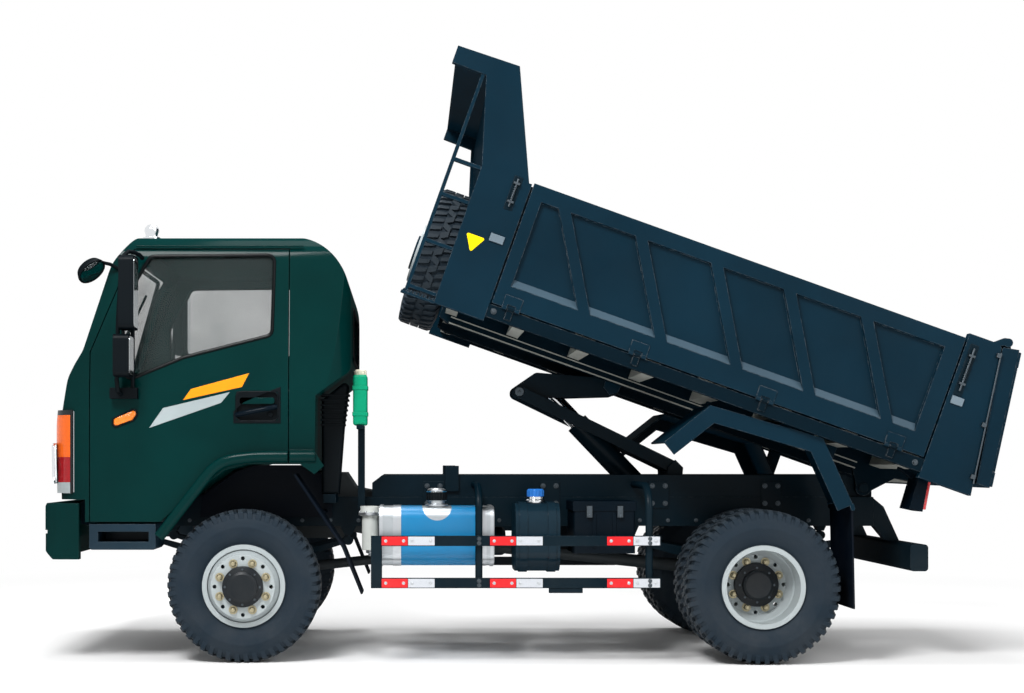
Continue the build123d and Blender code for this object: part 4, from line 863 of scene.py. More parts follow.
bowlX, bowlZ = doorSet["bowlMiddle"]
markerX, markerZ = doorSet["markerMiddle"]
lockX, lockY, lockZ = doorSet["lock"]
shrink = doorSet["markerShrink"]
for name, letter, sign in sideRows:
    body = "door_" + letter
    for look in ("stripeGold", "stripeSilver"):
        bm = bmesh.new()
        addStripe(bm, doorSet[look], sign)
        finishPiece(look + "_" + name, bm, look, body)
    bm = bmesh.new()
    bowl = roundOutline(doorSet["bowl"], 0.030)
    addLoop(bm, [cabSpot(x, z, sign, 0.001) for x, z in bowl], rightward, 0.0045)
    floorSpots = [truckPoint(x * 0.985 + 0.0012, sign * doorSet["bowlFloor"], bowlZ + (z - bowlZ) * 0.97)
                  for x, z in bowl]
    bm.faces.new([bm.verts.new(spot) for spot in floorSpots])
    addFrame(bm, doorSet["trim"], doorSet["bowl"], (bowlX, bowlZ), sign)
    addTurned(bm, truckPoint(lockX, sign * lockY, lockZ), (0, sign, 0), doorSet["lockForm"], 20)
    finishPiece("doorHandle_" + name, bm, "trimBlack", body)
    bm = bmesh.new()
    addTube(bm, [cabSpot(x, z, sign, out) for x, z, out in doorSet["lever"]], 0.013, 14)
    finishPiece("doorLever_" + name, bm, "boxBlack", body)
    bm = bmesh.new()
    outline = roundOutline(doorSet["marker"], 0.016)
    addLoop(bm, [cabSpot(x, z, sign, 0.004) for x, z in outline], rightward, 0.006)
    finishPiece("markerBezel_" + name, bm, "trimBlack", body)
    bm = bmesh.new()
    rim = [bm.verts.new(cabSpot(x, z, sign, 0.002)) for x, z in outline]
    dome = [bm.verts.new(cabSpot(markerX + (x - markerX) * shrink, markerZ + (z - markerZ) * shrink, sign, 0.013))
            for x, z in outline]
    top = bm.verts.new(truckPoint(markerX, sign * (cabSet["halfWidth"] + 0.016), markerZ))
    skinRows(bm, [rim, dome])
    for here, there in zip(dome, dome[1:] + dome[:1]):
        bm.faces.new((here, there, top))
    finishPiece("sideMarker_" + name, bm, "lensOrange", body)
    bm = bmesh.new()
    seal = roundOutline(doorSet["window"], 0.040, 6)
    addLoop(bm, [cabSpot(x, z, sign, -0.001) for x, z in seal], rightward, 0.010)
    finishPiece("windowSeal_" + name, bm, "sealRubber", body)
    bm = bmesh.new()
    for x, z, height in doorSet["mirrors"]:
        wide, tall = doorSet["mirrorHalf"], height / 2 - doorSet["mirrorInset"]
        face = roundOutline([(-wide, -tall), (wide, -tall), (wide, tall), (-wide, tall)], 0.024)
        addPlate(bm, face, truckPoint(x, sign * doorSet["mirrorReach"], z), rightward, upward, 0.002)
    finishPiece("mirrorFaces_" + name, bm, "mirrorFace", body)
    bm = bmesh.new()
    addTube(bm, [truckPoint(x, sign * y, z) for x, y, z in doorSet["mirrorTube"]], 0.012, 14)
    finishPiece("mirrorTube_" + name, bm, "trimBlack", body)

# Small round mirror at the cab's front corner.
mirrorSet = {
    "spot": (-0.828, -0.975, 2.160), "axis": (0.62, -0.35, -0.70), "stalk": 0.010, "stalkFrom": 0.045,
    "stalkLine": ((-0.790, -0.955, 2.215), (-0.735, -0.925, 2.205), (-0.690, -0.885, 2.180)),
    "shell": ((0.0, -0.055), (0.040, -0.050), (0.072, -0.032), (0.084, -0.006), (0.084, 0.004), (0.078, 0.006),
              (0.074, 0.0), (0.0, 0.004)),
    "face": ((0.0735, 0.0015), (0.0735, 0.003), (0.050, 0.008), (0.0, 0.011)),
}
mirrorSpot = truckPoint(*mirrorSet["spot"])
mirrorAxis = Vector(mirrorSet["axis"]).normalized()
bm = bmesh.new()
addTurned(bm, mirrorSpot, mirrorAxis, mirrorSet["shell"])
stalkFoot = mirrorSpot - mirrorAxis * mirrorSet["stalkFrom"]
addTube(bm, [stalkFoot] + [truckPoint(*p) for p in mirrorSet["stalkLine"]], mirrorSet["stalk"], 12)
finishPiece("frontMirror", bm, "trimBlack", "cab")
bm = bmesh.new()
addTurned(bm, mirrorSpot, mirrorAxis, mirrorSet["face"])
finishPiece("frontMirrorFace", bm, "mirrorFace", "cab")
print("doors dressed")

# Rounded lips over the front wheel arches, the door carrying the front stretch.
archSet = {
    "front": ((-0.457, 0.700), (-0.137, 1.112), (0.040, 1.142), (0.249, 1.142)),
    "rear": ((0.262, 1.142), (0.400, 1.142)),
    "skin": 0.985, "half": 0.030, "bulge": 0.020, "bend": 0.16, "steps": 8,
}


def bendLine(points, radius, steps=8):
    # open line with its inner corners turned into arcs
    line = [points[0]]
    for before, corner, after in zip(points, points[1:], points[2:]):
        corner = Vector(corner)
        first = (Vector(before) - corner).normalized()
        last = (Vector(after) - corner).normalized()
        reach = min(radius, (Vector(before) - corner).length / 2, (Vector(after) - corner).length / 2)
        for step in range(steps + 1):
            t = step / steps
            line.append(tuple(corner + first * reach * (1 - t) ** 2 + last * reach * t ** 2))
    return line + [points[-1]]


def addLip(bm, line, sign):
    # half-round moulding laid on the arch skin
    rows = []
    for i, spot in enumerate(line):
        tangent = (Vector(line[min(i + 1, len(line) - 1)]) - Vector(line[max(i - 1, 0)])).normalized()
        normal = Vector((-tangent.y, tangent.x))
        row = []
        for k in range(archSet["steps"] + 1):
            angle = math.pi * k / archSet["steps"]
            flat = Vector(spot) + normal * (archSet["half"] * math.cos(angle))
            reach = archSet["skin"] + archSet["bulge"] * math.sin(angle)
            row.append(bm.verts.new(truckPoint(flat.x, sign * reach, flat.y)))
        rows.append(row)
    skinRows(bm, rows)
    capEnds(bm, rows)


for name, letter, sign in sideRows:
    for tag, body in (("front", "door_" + letter), ("rear", "cab")):
        bm = bmesh.new()
        addLip(bm, bendLine(archSet[tag], archSet["bend"]), sign)
        finishPiece("archLip_" + tag + "_" + name, bm, "cabGreen", body, sharp=50)

# Screen and rear window seals, wipers, roof gutters and the small roof dome.
screenSet = {
    "corners": ((-0.800, 1.690), (0.800, 1.690), (0.720, 2.280), (-0.720, 2.280)), "corner": 0.050,
    "foot": (-0.886, 1.730), "slope": 0.151 / 0.485, "wrap": 0.12, "wrapFrom": 0.77, "rear": 0.591,
    "rearCorners": ((-0.480, 1.700), (0.480, 1.700), (0.480, 2.000), (-0.480, 2.000)), "wipers": (-0.60, 0.10),
    "arm": ((0.0, 1.640, 0.030), (0.03, 1.700, 0.032), (0.26, 1.960, 0.026)),
    "blade": ((0.10, 1.745, 0.020), (0.26, 1.960, 0.020), (0.42, 2.175, 0.020)),
    "boss": ((0.022, -0.03), (0.022, 0.012), (0.016, 0.024), (0, 0.024)),
    "gutter": ((-0.600, 0.330), (-0.004, 0.012), (2.308, 2.316)), "gutterLevel": 2.312,
    "dome": ((0.050, 0.0), (0.050, 0.010), (0.036, 0.014), (0.036, 0.030), (0.043, 0.046), (0.040, 0.064),
             (0.026, 0.080), (0.0, 0.086)), "domeSpot": (-0.540, -0.700, 2.3725),
}


def screenSpot(y, z, lift):
    footX, footZ = screenSet["foot"]
    wrap = screenSet["wrap"] * max(0.0, abs(y) - screenSet["wrapFrom"])
    return truckPoint(footX + (z - footZ) * screenSet["slope"] + wrap - lift, y, z)


bm = bmesh.new()
outline = roundOutline(screenSet["corners"], screenSet["corner"], 6)
addLoop(bm, [screenSpot(y, z, 0.003) for y, z in outline], rearward, 0.013)
outline = roundOutline(screenSet["rearCorners"], screenSet["corner"], 6)
addLoop(bm, [truckPoint(screenSet["rear"], y, z) for y, z in outline], rearward, 0.010)
finishPiece("screenSeals", bm, "sealRubber", "cab")
bm = bmesh.new()
for y in screenSet["wipers"]:
    for key, radius in (("arm", 0.007), ("blade", 0.008)):
        addTube(bm, [screenSpot(y + dy, z, lift) for dy, z, lift in screenSet[key]], radius)
    addTurned(bm, screenSpot(y, screenSet["arm"][0][1], 0.010), (-1, 0, 0.4), screenSet["boss"], 18)
finishPiece("wipers", bm, "trimBlack", "cab")
bm = bmesh.new()
gutterAlong, gutterLift, gutterUpright = screenSet["gutter"]
for sign in bothSides:
    skin = sideSkin(screenSet["gutterLevel"])
    sideBar(bm, sign, gutterAlong, (skin + gutterLift[0], skin + gutterLift[1]), gutterUpright)
finishPiece("roofGutters", bm, "cabGreen", "cab", bevel=0.002)
bm = bmesh.new()
addTurned(bm, truckPoint(*screenSet["domeSpot"]), upward, screenSet["dome"])
finishPiece("roofDome", bm, "brightTrim", "cab")
print("cab top dressed")

# Tanks: straps, end beads, caps and collars. A cap is its radius, low and high edge and count of ribs.
tankSet = {
    "middle": (-0.690, 0.6995), "section": (0.420, 0.327, 0.062),
    "straps": (0.826, 1.300), "strapWide": 0.046, "strapThick": 0.0025,
    "beads": (0.753, 1.366), "beadWide": 0.018, "beadThick": 0.005,
    "fuelSpot": (1.071, -0.760, 0), "fuelCap": (0.0575, 0.897, 0.949, 20),
    "fuelTop": ((0.050, 0.9492), (0.050, 0.957), (0.042, 0.964), (0, 0.966)),
    "fuelNeck": ((0.064, 0.866), (0.064, 0.874), (0.047, 0.880), (0.047, 0.890)),
    "oilSpot": (1.632, -0.700, 0), "oilCap": (0.046, 0.917, 0.960, 16),
    "oilCollar": ((0.037, 0.880), (0.056, 0.882), (0.056, 0.896), (0.050, 0.902), (0.050, 0.9165), (0.0, 0.9165)),
}


def addBand(bm, centre, width, height, corner, thick, start, end):
    # strap round a rounded box section that lies across the truck
    half = [(-width / 2, -height / 2), (width / 2, -height / 2), (width / 2, height / 2), (-width / 2, height / 2)]
    grown = [(y * (1 + 2 * thick / width), z * (1 + 2 * thick / height)) for y, z in half]
    inner = roundOutline(half, corner)
    outer = roundOutline(grown, corner + thick)
    rows = [[bm.verts.new(truckPoint(x, centre[0] + y, centre[1] + z)) for y, z in line]
            for x, line in ((start, inner), (start, outer), (end, outer), (end, inner))]
    skinRows(bm, rows, along=True)


def addCap(bm, spot, radius, low, high, ribs):
    # screw cap with grip ribs
    addTurned(bm, spot, upward, ((radius, low), (radius, high - 0.006), (radius - 0.006, high), (0, high)), 36)
    for i in range(ribs):
        angle = fullTurn * i / ribs
        grip = Vector(spot) + Vector((math.cos(angle), math.sin(angle), 0)) * radius
        addTube(bm, [grip + upward * (low + 0.003), grip + upward * (high - 0.007)], 0.0028, 6)


for tag, key in (("fuelStraps", "strap"), ("fuelEndBeads", "bead")):
    bm = bmesh.new()
    for start in tankSet[key + "s"]:
        addBand(bm, tankSet["middle"], *tankSet["section"], tankSet[key + "Thick"], start,
                start + tankSet[key + "Wide"])
    finishPiece(tag, bm, "bareSteel", "chassis")
fuelSpot = truckPoint(*tankSet["fuelSpot"])
bm = bmesh.new()
addCap(bm, fuelSpot, *tankSet["fuelCap"])
finishPiece("fuelCapSkirt", bm, "trimBlack", "chassis")
bm = bmesh.new()
addTurned(bm, fuelSpot, upward, tankSet["fuelTop"], 32)
addTurned(bm, fuelSpot, upward, tankSet["fuelNeck"], 32)
finishPiece("fuelCapTop", bm, "bareSteel", "chassis")
oilSpot = truckPoint(*tankSet["oilSpot"])
bm = bmesh.new()
addCap(bm, oilSpot, *tankSet["oilCap"])
finishPiece("oilCap", bm, "capBlue", "chassis")
bm = bmesh.new()
addTurned(bm, oilSpot, upward, tankSet["oilCollar"], 32)
finishPiece("oilCollar", bm, "brightTrim", "chassis")

# Fuel filter head, coolant bottle cap and ribs, air intake ribs.
filterSet = {
    "spot": (0.692, -0.560, 0), "flange": ((0.0565, 0.806), (0.066, 0.808), (0.066, 0.822), (0.0565, 0.824)),
    "bolts": 8, "boltCircle": 0.0615, "boltLevel": 0.822,
    "drain": ((0.024, -0.608), (0.024, -0.590), (0.010, -0.586), (0.010, -0.572), (0, -0.572)),
}
bottleSet = {
    "spot": (0.640, -0.680, 0), "cap": (0.033, 1.598, 1.636, 14), "levels": (1.372, 1.520), "tall": 0.022,
    "bars": ((0.597, 0.683, -0.7555), (0.5965, 0.5995, -0.602), (0.6805, 0.6835, -0.602)), "face": -0.758,
}
intakeSet = {"ribs": 7, "low": 1.318, "pitch": 0.028, "tall": 0.012, "front": 0.4145, "back": 0.554,
             "grow": 0.0115 * 0.35, "across": (-0.6945, -0.5555)}
filterSpot = truckPoint(*filterSet["spot"])
bm = bmesh.new()
addTurned(bm, filterSpot, upward, filterSet["flange"], 32)
for i in range(filterSet["bolts"]):
    angle = fullTurn * (i + 0.5) / filterSet["bolts"]
    out = Vector((math.cos(angle), math.sin(angle), 0)) * filterSet["boltCircle"]
    addBolt(bm, filterSpot + out + upward * filterSet["boltLevel"], upward, 0.006, 0.009)
addTurned(bm, filterSpot, -upward, filterSet["drain"], 20)
finishPiece("filterHead", bm, "bareSteel", "chassis")
bm = bmesh.new()
addCap(bm, truckPoint(*bottleSet["spot"]), *bottleSet["cap"])
finishPiece("bottleCap", bm, "capCream", "chassis")
bm = bmesh.new()
for z in bottleSet["levels"]:
    for x0, x1, y in bottleSet["bars"]:
        addBar(bm, (x0, bottleSet["face"], z), (x1, y, z + bottleSet["tall"]))
finishPiece("bottleRibs", bm, "bottleGreen", "chassis", bevel=0.0008, segments=1)
bm = bmesh.new()
y0, y1 = intakeSet["across"]
for i in range(intakeSet["ribs"]):
    z = intakeSet["low"] + i * intakeSet["pitch"]
    addBar(bm, (intakeSet["front"], y0, z), (intakeSet["back"] + intakeSet["grow"] * i, y1, z + intakeSet["tall"]))
finishPiece("intakeRibs", bm, "trimBlack", "chassis", bevel=0.002)
print("tanks dressed")

# Lockers: overhanging lids, latches and stiffening ribs. Each is its side, length, reach and height.
lockerRows = ((-1, (1.834, 2.176), (0.480, 0.860), (0.603, 0.888)),
              (1, (1.750, 2.150), (0.480, 0.880), (0.560, 0.880)))
lockerSet = {"lip": 0.006, "lidDeep": 0.050, "latches": (0.25, 0.75), "latchHalf": 0.016, "latchOut": 0.018,
             "ribs": (0.33, 0.66), "ribHalf": 0.012, "button": ((0.010, 0), (0.010, 0.005), (0, 0.007))}
lid = bmesh.new()
latch = bmesh.new()
lip = lockerSet["lip"]
for sign, (x0, x1), (inner, outer), (z0, z1) in lockerRows:
    sideBar(lid, sign, (x0 - lip, x1 + lip), (inner - lip, outer + lip), (z1 - lockerSet["lidDeep"], z1 + lip))
    front = outer + lockerSet["latchOut"]
    for share in lockerSet["latches"]:
        x = x0 + (x1 - x0) * share
        half = lockerSet["latchHalf"]
        sideBar(latch, sign, (x - half, x + half), (outer + lip, front), (z1 - 0.085, z1 - 0.020))
        addTurned(latch, truckPoint(x, sign * front, z1 - 0.075), (0, sign, 0), lockerSet["button"], 14)
    for share in lockerSet["ribs"]:
        x = x0 + (x1 - x0) * share
        half = lockerSet["ribHalf"]
        sideBar(lid, sign, (x - half, x + half), (outer - 0.002, outer + 0.005), (z0 + 0.030, z1 - 0.062))
finishPiece("lockerLids", lid, "boxBlack", "chassis", bevel=0.005, segments=3)
finishPiece("lockerLatches", latch, "darkSteel", "chassis", bevel=0.002)

# Frame: mounting plates between rail and subframe, bolt rows and a guide post for the bed.
plateSet = {
    "rows": (1.060, 1.740, 2.380, 3.040), "half": 0.060, "skin": 0.3702, "face": 0.378, "upright": (0.842, 1.000),
    "boltHalf": 0.038, "boltLevels": (0.870, 0.972), "bolt": (0.010, 0.012), "railBolts": 26, "railStart": -0.700,
    "railPitch": 0.165, "railLevel": 0.770, "railBolt": (0.008, 0.009, 10),
    "guide": ((1.130, 1.208), (0.3785, 0.390), (0.940, 1.090)),
}
bm = bmesh.new()
bolts = bmesh.new()
for sign in bothSides:
    for x in plateSet["rows"]:
        half = plateSet["half"]
        sideBar(bm, sign, (x - half, x + half), (plateSet["skin"], plateSet["face"]), plateSet["upright"])
        for dx in (-plateSet["boltHalf"], plateSet["boltHalf"]):
            for z in plateSet["boltLevels"]:
                addBolt(bolts, truckPoint(x + dx, sign * plateSet["face"], z), (0, sign, 0), *plateSet["bolt"])
    for i in range(plateSet["railBolts"]):
        x = plateSet["railStart"] + i * plateSet["railPitch"]
        spot = truckPoint(x, sign * plateSet["skin"], plateSet["railLevel"])
        addBolt(bolts, spot, (0, sign, 0), *plateSet["railBolt"])
    sideBar(bm, sign, *plateSet["guide"])
finishPiece("framePlates", bm, "chassisBlack", "chassis", bevel=0.002)
finishPiece("frameBolts", bolts, "darkSteel", "chassis")
print("frame dressed")

# Bed: gate latches with springs, blank triangle, tabs, pale strips painted as highlights along the beam flanges,
# gate ledges, ladder foot and pull rods.
bedSet = {
    "skin": 1.085, "latches": ((1.062, 1.770, 0.190), (3.700, 1.695, 0.290)), "latchHalf": 0.024, "plate": 0.004,
    "rodOut": 0.015, "rod": 0.006, "rodShare": 0.42, "lugHalf": 0.018, "lugOut": 0.022, "lugTall": 0.012,
    "lugShares": (0.25, -0.30), "coil": 0.009, "coilWire": 0.0018, "coilTurns": 8, "coilSteps": 80,
    "coilLow": -0.06, "coilLong": 0.10, "hingeBolts": ((1.177, 1.130), (3.608, 1.130)), "hingeFace": 1.082,
    "triangle": (0.948, 1.454, 0.064), "tabs": ((1.061, 1.506, 0.040, 0.022), (3.710, 1.520, 0.034, 0.022)),
    "beam": 0.370, "beamAlong": (0.965, 3.495), "flangeHighlights": ((1.050, 1.058), (1.086, 1.093)),
    "ledge": (1.222, 3.548, 1.290, 1.333, 1.058), "foot": ((0.664, -1.084, 1.060), (0.856, -1.046, 1.074)),
    "teeth": 9, "toothStart": 0.668, "toothPitch": 0.021, "tooth": ((0, 0), (0.018, 0), (0.009, 0.016)),
    "pullRod": ((3.846, 1.845), (3.942, 1.125)), "pullReach": 1.094,
    "pullClips": ((3.8485, 1.826), (3.899, 1.445), (3.937, 1.160)),
}


def bedSideBar(bm, sign, along, across, upright):
    sideBar(bm, sign, along, across, upright, bedPoint)


slotShadePlates = bmesh.new()
latches = bmesh.new()
skin = bedSet["skin"]
plateFace = skin + bedSet["plate"]
rodReach = skin + bedSet["rodOut"]
for sign in bothSides:
    for x, z, height in bedSet["latches"]:
        half = bedSet["latchHalf"]
        # black plates at the latches, darkened to stand in for the shade inside the latch slots
        bedSideBar(slotShadePlates, sign, (x - half, x + half), (skin, plateFace), (z - height / 2, z + height / 2))
        coil = []
        for step in range(bedSet["coilSteps"] + 1):
            angle = fullTurn * bedSet["coilTurns"] * step / bedSet["coilSteps"]
            along = bedSet["coilLow"] + bedSet["coilLong"] * step / bedSet["coilSteps"]
            coil.append(bedPoint(x + bedSet["coil"] * math.cos(angle),
                                 sign * (rodReach + bedSet["coil"] * math.sin(angle)), z + along))
        addTube(latches, coil, bedSet["coilWire"], 6)
        rodHalf = height * bedSet["rodShare"]
        addTube(latches, [bedPoint(x, sign * rodReach, z + end) for end in (-rodHalf, rodHalf)], bedSet["rod"], 12)
        half = bedSet["lugHalf"]
        for share in bedSet["lugShares"]:
            low = z + height * share
            bedSideBar(latches, sign, (x - half, x + half), (plateFace, skin + bedSet["lugOut"]),
                       (low, low + bedSet["lugTall"]))
    for x, z in bedSet["hingeBolts"]:
        addBolt(latches, bedPoint(x, sign * bedSet["hingeFace"], z), (0, sign, 0), 0.011, 0.014)
finishPiece("gateLatchSlotShadePlates", slotShadePlates, "chassisBlack", "bed", bevel=0.0015)
finishPiece("gateLatchBolts", latches, "darkSteel", "bed", bevel=0.0008, segments=1)
triangleX, triangleZ, reach = bedSet["triangle"]
bm = bmesh.new()
corners = [(reach * math.sin(fullTurn * k / 3), -reach * math.cos(fullTurn * k / 3)) for k in range(3)]
addPlate(bm, roundOutline(corners, 0.008), bedPoint(triangleX, -skin - 0.0002, triangleZ), bedAlong, bedUp, 0.0015)
finishPiece("triangleSign", bm, "signYellow", "bed")
tabs = bmesh.new()
flangeHighlights = bmesh.new()
for sign in bothSides:
    for x, z, half, tall in bedSet["tabs"]:
        bedSideBar(tabs, sign, (x - half, x + half), (skin, skin + 0.010), (z - tall, z + tall))
    # thin pale strips on the beams: painted highlights along the flange edges
    for upright in bedSet["flangeHighlights"]:
        bedSideBar(flangeHighlights, sign, bedSet["beamAlong"], (bedSet["beam"], bedSet["beam"] + 0.004), upright)
finishPiece("latchTabs", tabs, "tabGrey", "bed", bevel=0.003)
finishPiece("beamFlangeHighlights", flangeHighlights, "paleGrey", "bed", bevel=0.001, segments=1)
ledgeStart, ledgeEnd, ledgeLow, ledgeHigh, ledgeSkin = bedSet["ledge"]
section = ((skin, ledgeLow), (ledgeSkin, ledgeHigh), (ledgeSkin, ledgeLow))
for name, letter, sign in sideRows:
    bm = bmesh.new()
    rows = [[bm.verts.new(bedPoint(x, sign * y, z)) for y, z in section] for x in (ledgeStart, ledgeEnd)]
    skinRows(bm, rows)
    capEnds(bm, rows)
    # the ledge wears a pale navy, painted as the highlight along it
    finishPiece("gateLedge_" + name, bm, "highlitLedgeNavy", "gate_" + letter, bevel=0.002, segments=1)
bm = bmesh.new()
footLow, footHigh = bedSet["foot"]
addBar(bm, footLow, footHigh, bedPoint)
for i in range(bedSet["teeth"]):
    spot = bedPoint(bedSet["toothStart"] + i * bedSet["toothPitch"], -1.080, footHigh[2])
    addPlate(bm, bedSet["tooth"], spot, bedAlong, bedUp, 0.004)
finishPiece("ladderFoot", bm, "bedNavy", "bed", bevel=0.001, segments=1)
bm = bmesh.new()
for sign in bothSides:
    addTube(bm, [bedPoint(x, sign * bedSet["pullReach"], z) for x, z in bedSet["pullRod"]], 0.005, 12)
    for x, z in bedSet["pullClips"]:
        bedSideBar(bm, sign, (x - 0.022, x + 0.004), (1.0845, 1.101), (z - 0.012, z + 0.012))
finishPiece("gatePullRods", bm, "darkSteel", "bed", bevel=0.001, segments=1)
print("bed dressed")

# Tailgate: rails and upright ribs on the outer face.
gateSet = {"top": (3.938, 1.896), "foot": (4.037, 1.135), "half": 1.078, "sunk": -0.001, "railDeep": 0.016,
           "rails": ((1.800, 1.885), (1.145, 1.225)), "ribs": (-1.040, -0.520, 0.0, 0.520, 1.040),
           "ribHalf": 0.036, "ribUpright": (1.225, 1.800), "ribDeep": 0.014}
gateX, gateZ = gateSet["top"]
gateLean = (gateSet["foot"][0] - gateX) / (gateZ - gateSet["foot"][1])


def gateBar(bm, across, upright, depth):
    addBox(bm, [bedPoint(gateX + (gateZ - z) * gateLean + lift, y, z)
                for lift in (gateSet["sunk"], depth) for z in upright for y in across])


bm = bmesh.new()
for upright in gateSet["rails"]:
    gateBar(bm, (-gateSet["half"], gateSet["half"]), upright, gateSet["railDeep"])
for y in gateSet["ribs"]:
    gateBar(bm, (y - gateSet["ribHalf"], y + gateSet["ribHalf"]), gateSet["ribUpright"], gateSet["ribDeep"])
finishPiece("tailgateRibs", bm, "bedNavy", "rear_gate", bevel=0.004, segments=3)

# Tail lamps: three lens sections on each.
lensRows = (("lensRed", 0.905, 0.955), ("lensOrange", 0.845, 0.900), ("lensClear", 0.790, 0.840))
tailSet = {"top": (3.745, 1.090), "foot": (3.775, 0.900), "low": 0.08, "high": 0.92,
           "layers": ((0.0, 0.0), (0.012, 0.0), (0.018, 0.006))}
tailTop, tailFoot = Vector(tailSet["top"]), Vector(tailSet["foot"])
for look, near, far in lensRows:
    bm = bmesh.new()
    for sign in bothSides:
        y0, y1 = sorted((sign * near, sign * far))
        rows = []
        for lift, inset in tailSet["layers"]:
            low, high = tailSet["low"] + inset * 3, tailSet["high"] - inset * 3
            corners = []
            for share, y in ((low, y0 + inset), (low, y1 - inset), (high, y1 - inset), (high, y0 + inset)):
                flat = tailFoot.lerp(tailTop, share)
                corners.append(bm.verts.new(bedPoint(flat.x + lift, y, flat.y)))
            rows.append(corners)
        skinRows(bm, rows)
        capEnds(bm, rows)
    finishPiece("tailLens_" + look, bm, look, "bed")
print("tail dressed")

# Seats: crowned cushions with sewn channels, drawn in along their sides.
seatRows = (("driver", -0.560, 0.460), ("mate", 0.390, 0.800))
seatSet = {
    "base": (0.035, 1.378), "baseLong": 0.440, "baseThick": 0.078, "back": (0.306, 1.690), "backLong": 0.520,
    "backThick": 0.082, "backWay": (0.100, 0, 0.620), "crown": 0.010, "sideInset": 0.02, "frameInset": 0.03,
    "frames": (((0.035, 0.275), (1.147, 1.325)), ((-0.150, 0.280), (1.300, 1.330))), "sharp": 60,
}


def addCushion(bm, centre, along, up, size, steps=14):
    # pillow form: full in the middle, drawn in along its sides
    half = Vector(size) / 2
    grid = {}
    for top in (0, 1):
        for i in range(steps + 1):
            for j in range(steps + 1):
                u, v = 2 * i / steps - 1, 2 * j / steps - 1
                rim = (1 - u ** 8) * (1 - v ** 8)
                pull = 1 - 0.03 * (1 - abs(u)) * abs(v) ** 6
                pinch = 1 - 0.03 * (1 - abs(v)) * abs(u) ** 6
                rise = half.z * (0.45 + 0.55 * rim ** 0.35) + seatSet["crown"] * (1 - u * u) * (1 - v * v) * top
                channel = 0.006 * top * math.exp(-((abs(v) - 0.45) / 0.05) ** 2)
                height = (rise - channel) * (1 if top else -1)
                spot = centre + along * (u * half.x * pinch) + rightward * (v * half.y * pull) + up * height
                grid[top, i, j] = bm.verts.new(spot)
    for top in (0, 1):
        for i in range(steps):
            for j in range(steps):
                quad = [grid[top, i, j], grid[top, i + 1, j], grid[top, i + 1, j + 1], grid[top, i, j + 1]]
                bm.faces.new(quad if top else list(reversed(quad)))
    edge = ([(i, 0) for i in range(steps)] + [(steps, j) for j in range(steps)]
            + [(i, steps) for i in range(steps, 0, -1)] + [(0, j) for j in range(steps, 0, -1)])
    for (a, b), (c, d) in zip(edge, edge[1:] + edge[:1]):
        bm.faces.new((grid[0, a, b], grid[0, c, d], grid[1, c, d], grid[1, a, b]))


frames = bmesh.new()
lean = Vector(seatSet["backWay"]).normalized()
baseX, baseZ = seatSet["base"]
backX, backZ = seatSet["back"]
for tag, y, width in seatRows:
    inner = width / 2 - seatSet["frameInset"]
    for (x0, x1), (z0, z1) in seatSet["frames"]:
        addBar(frames, (x0, y - inner, z0), (x1, y + inner, z1))
    wide = width - seatSet["sideInset"]
    bm = bmesh.new()
    addCushion(bm, truckPoint(baseX, y, baseZ), rearward, upward, (seatSet["baseLong"], wide, seatSet["baseThick"]))
    base = finishPiece("seatBase_" + tag, bm, "seatCloth", "cab", sharp=seatSet["sharp"])
    base.modifiers.new("soft", "SUBSURF").render_levels = 2
    bm = bmesh.new()
    addCushion(bm, truckPoint(backX, y, backZ), lean, Vector((-lean.z, 0, lean.x)),
               (seatSet["backLong"], wide, seatSet["backThick"]))
    back = finishPiece("seatBack_" + tag, bm, "seatCloth", "cab", sharp=seatSet["sharp"])
    back.modifiers.new("soft", "SUBSURF").render_levels = 2
seatFrame = finishPiece("seatFrames", frames, "trimBlack", "cab", bevel=0.008, segments=3)
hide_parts("seats")
print("seats made")

# Hoist: pin caps with grease nipples.
pinRows = ((bedPoint(2.016, 0, 1.037), "lever", 0.116, 0.034), (truckPoint(1.576, 0, 1.532), "link", 0.180, 0.030))
for spot, body, reach, radius in pinRows:
    bm = bmesh.new()
    for sign in bothSides:
        cap = spot + rightward * (sign * (reach + 0.0003))
        addTurned(bm, cap, (0, sign, 0), ((radius, 0), (radius, 0.006), (radius - 0.004, 0.010), (0.006, 0.010),
                                          (0.006, 0.018), (0.003, 0.020), (0, 0.020)), 24)
    finishPiece("pinCaps_" + body, bm, "darkSteel", body)
print("hoist dressed")

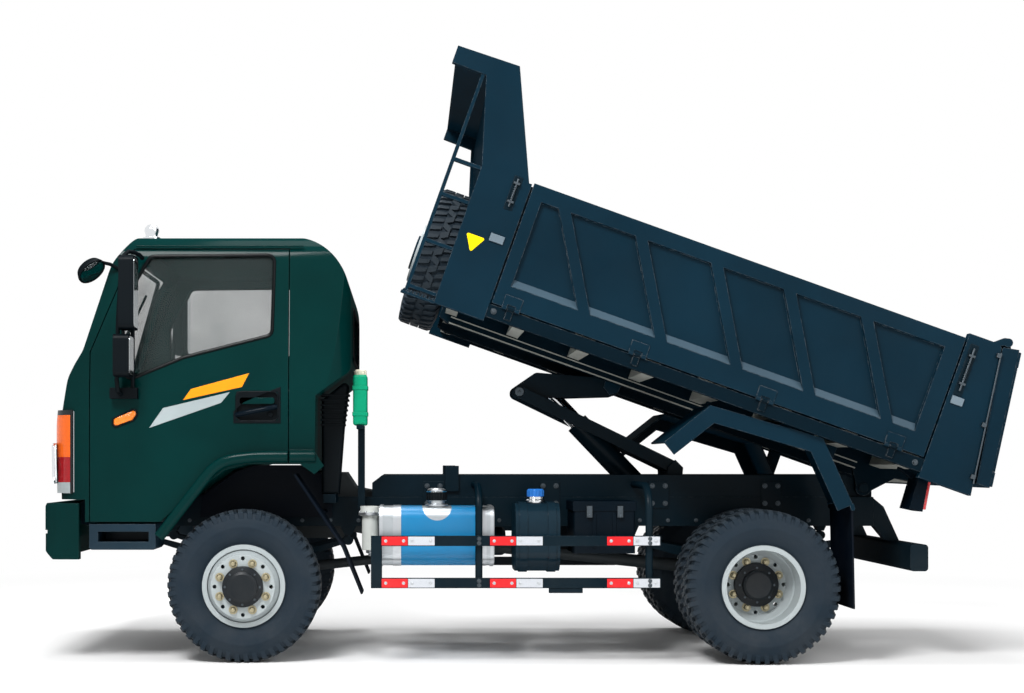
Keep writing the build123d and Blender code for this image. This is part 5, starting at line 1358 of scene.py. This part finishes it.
# Camera, floor and light
stageSet = {
    "cameraBack": 10.0, "cameraAlong": 0.910, "cameraHeight": 1.118, "lens": 57.72, "sensor": 36.0,
    "shift": (0.1016, 0.1118), "floorSize": 60.0, "fadeStart": 4.0, "fadeEnd": 8.0, "floorTone": 0.88,
    "skyStrength": 0.5,
}
camera = bpy.data.objects.new("sideCamera", bpy.data.cameras.new("sideCamera"))
scene.collection.objects.link(camera)
camera.location = truckPoint(stageSet["cameraAlong"], -stageSet["cameraBack"], stageSet["cameraHeight"])
camera.rotation_euler = (math.radians(90), 0, 0)
camera.data.lens = stageSet["lens"]
camera.data.sensor_width = stageSet["sensor"]
camera.data.shift_x, camera.data.shift_y = stageSet["shift"]
scene.camera = camera

bm = bmesh.new()
bmesh.ops.create_grid(bm, x_segments=4, y_segments=4, size=stageSet["floorSize"] / 2)
floorMesh = bpy.data.meshes.new("floor")
bm.to_mesh(floorMesh)
bm.free()
floor = bpy.data.objects.new("floor", floorMesh)
scene.collection.objects.link(floor)
tree, surface = startMaterial("floorPale")
fill(tree, surface, {"Base Color": (*(stageSet["floorTone"],) * 3, 1), "Roughness": 0.9, "Specular IOR Level": 0.1})
far = vector2(tree, "LENGTH", objectPlace(tree))
fade = mapRange(tree, far, stageSet["fadeStart"], stageSet["fadeEnd"], interpolation_type="SMOOTHSTEP")
white = addNode(tree, "ShaderNodeEmission", {"Color": (1, 1, 1, 1), "Strength": 1.0}).outputs[0]
blend = addNode(tree, "ShaderNodeMixShader", {0: times(tree, fade, seenRay(tree)), 1: surface.outputs[0], 2: white})
tree.links.new(blend.outputs[0], tree.nodes["Material Output"].inputs["Surface"])
floorMesh.materials.append(looks["floorPale"])

world = bpy.data.worlds.new("whiteRoom")
scene.world = world
world.use_nodes = True
tree = world.node_tree
strength = mapRange(tree, seenRay(tree), toLow=stageSet["skyStrength"])
fill(tree, tree.nodes["Background"], {"Strength": strength, "Color": (1, 1, 1, 1)})

# Lamps: place, aim, size and power of each.
lampRows = (("keyLamp", (-3.0, -6.5, 7.5), (0, 0, 1.0), 2.6, 820.0),
            ("fillLamp", (5.0, -5.0, 5.0), (0.5, 0, 1.2), 5.0, 200.0),
            ("topLamp", (0.0, 0.4, 8.5), (0.0, 0.2, 0.0), 5.0, 650.0))
for name, spot, target, size, power in lampRows:
    lamp = bpy.data.objects.new(name, bpy.data.lights.new(name, "AREA"))
    lamp.data.size = size
    lamp.data.energy = power
    lamp.location = spot
    lamp.rotation_euler = (Vector(target) - Vector(spot)).to_track_quat("-Z", "Y").to_euler()
    scene.collection.objects.link(lamp)
print("camera, floor and light set")
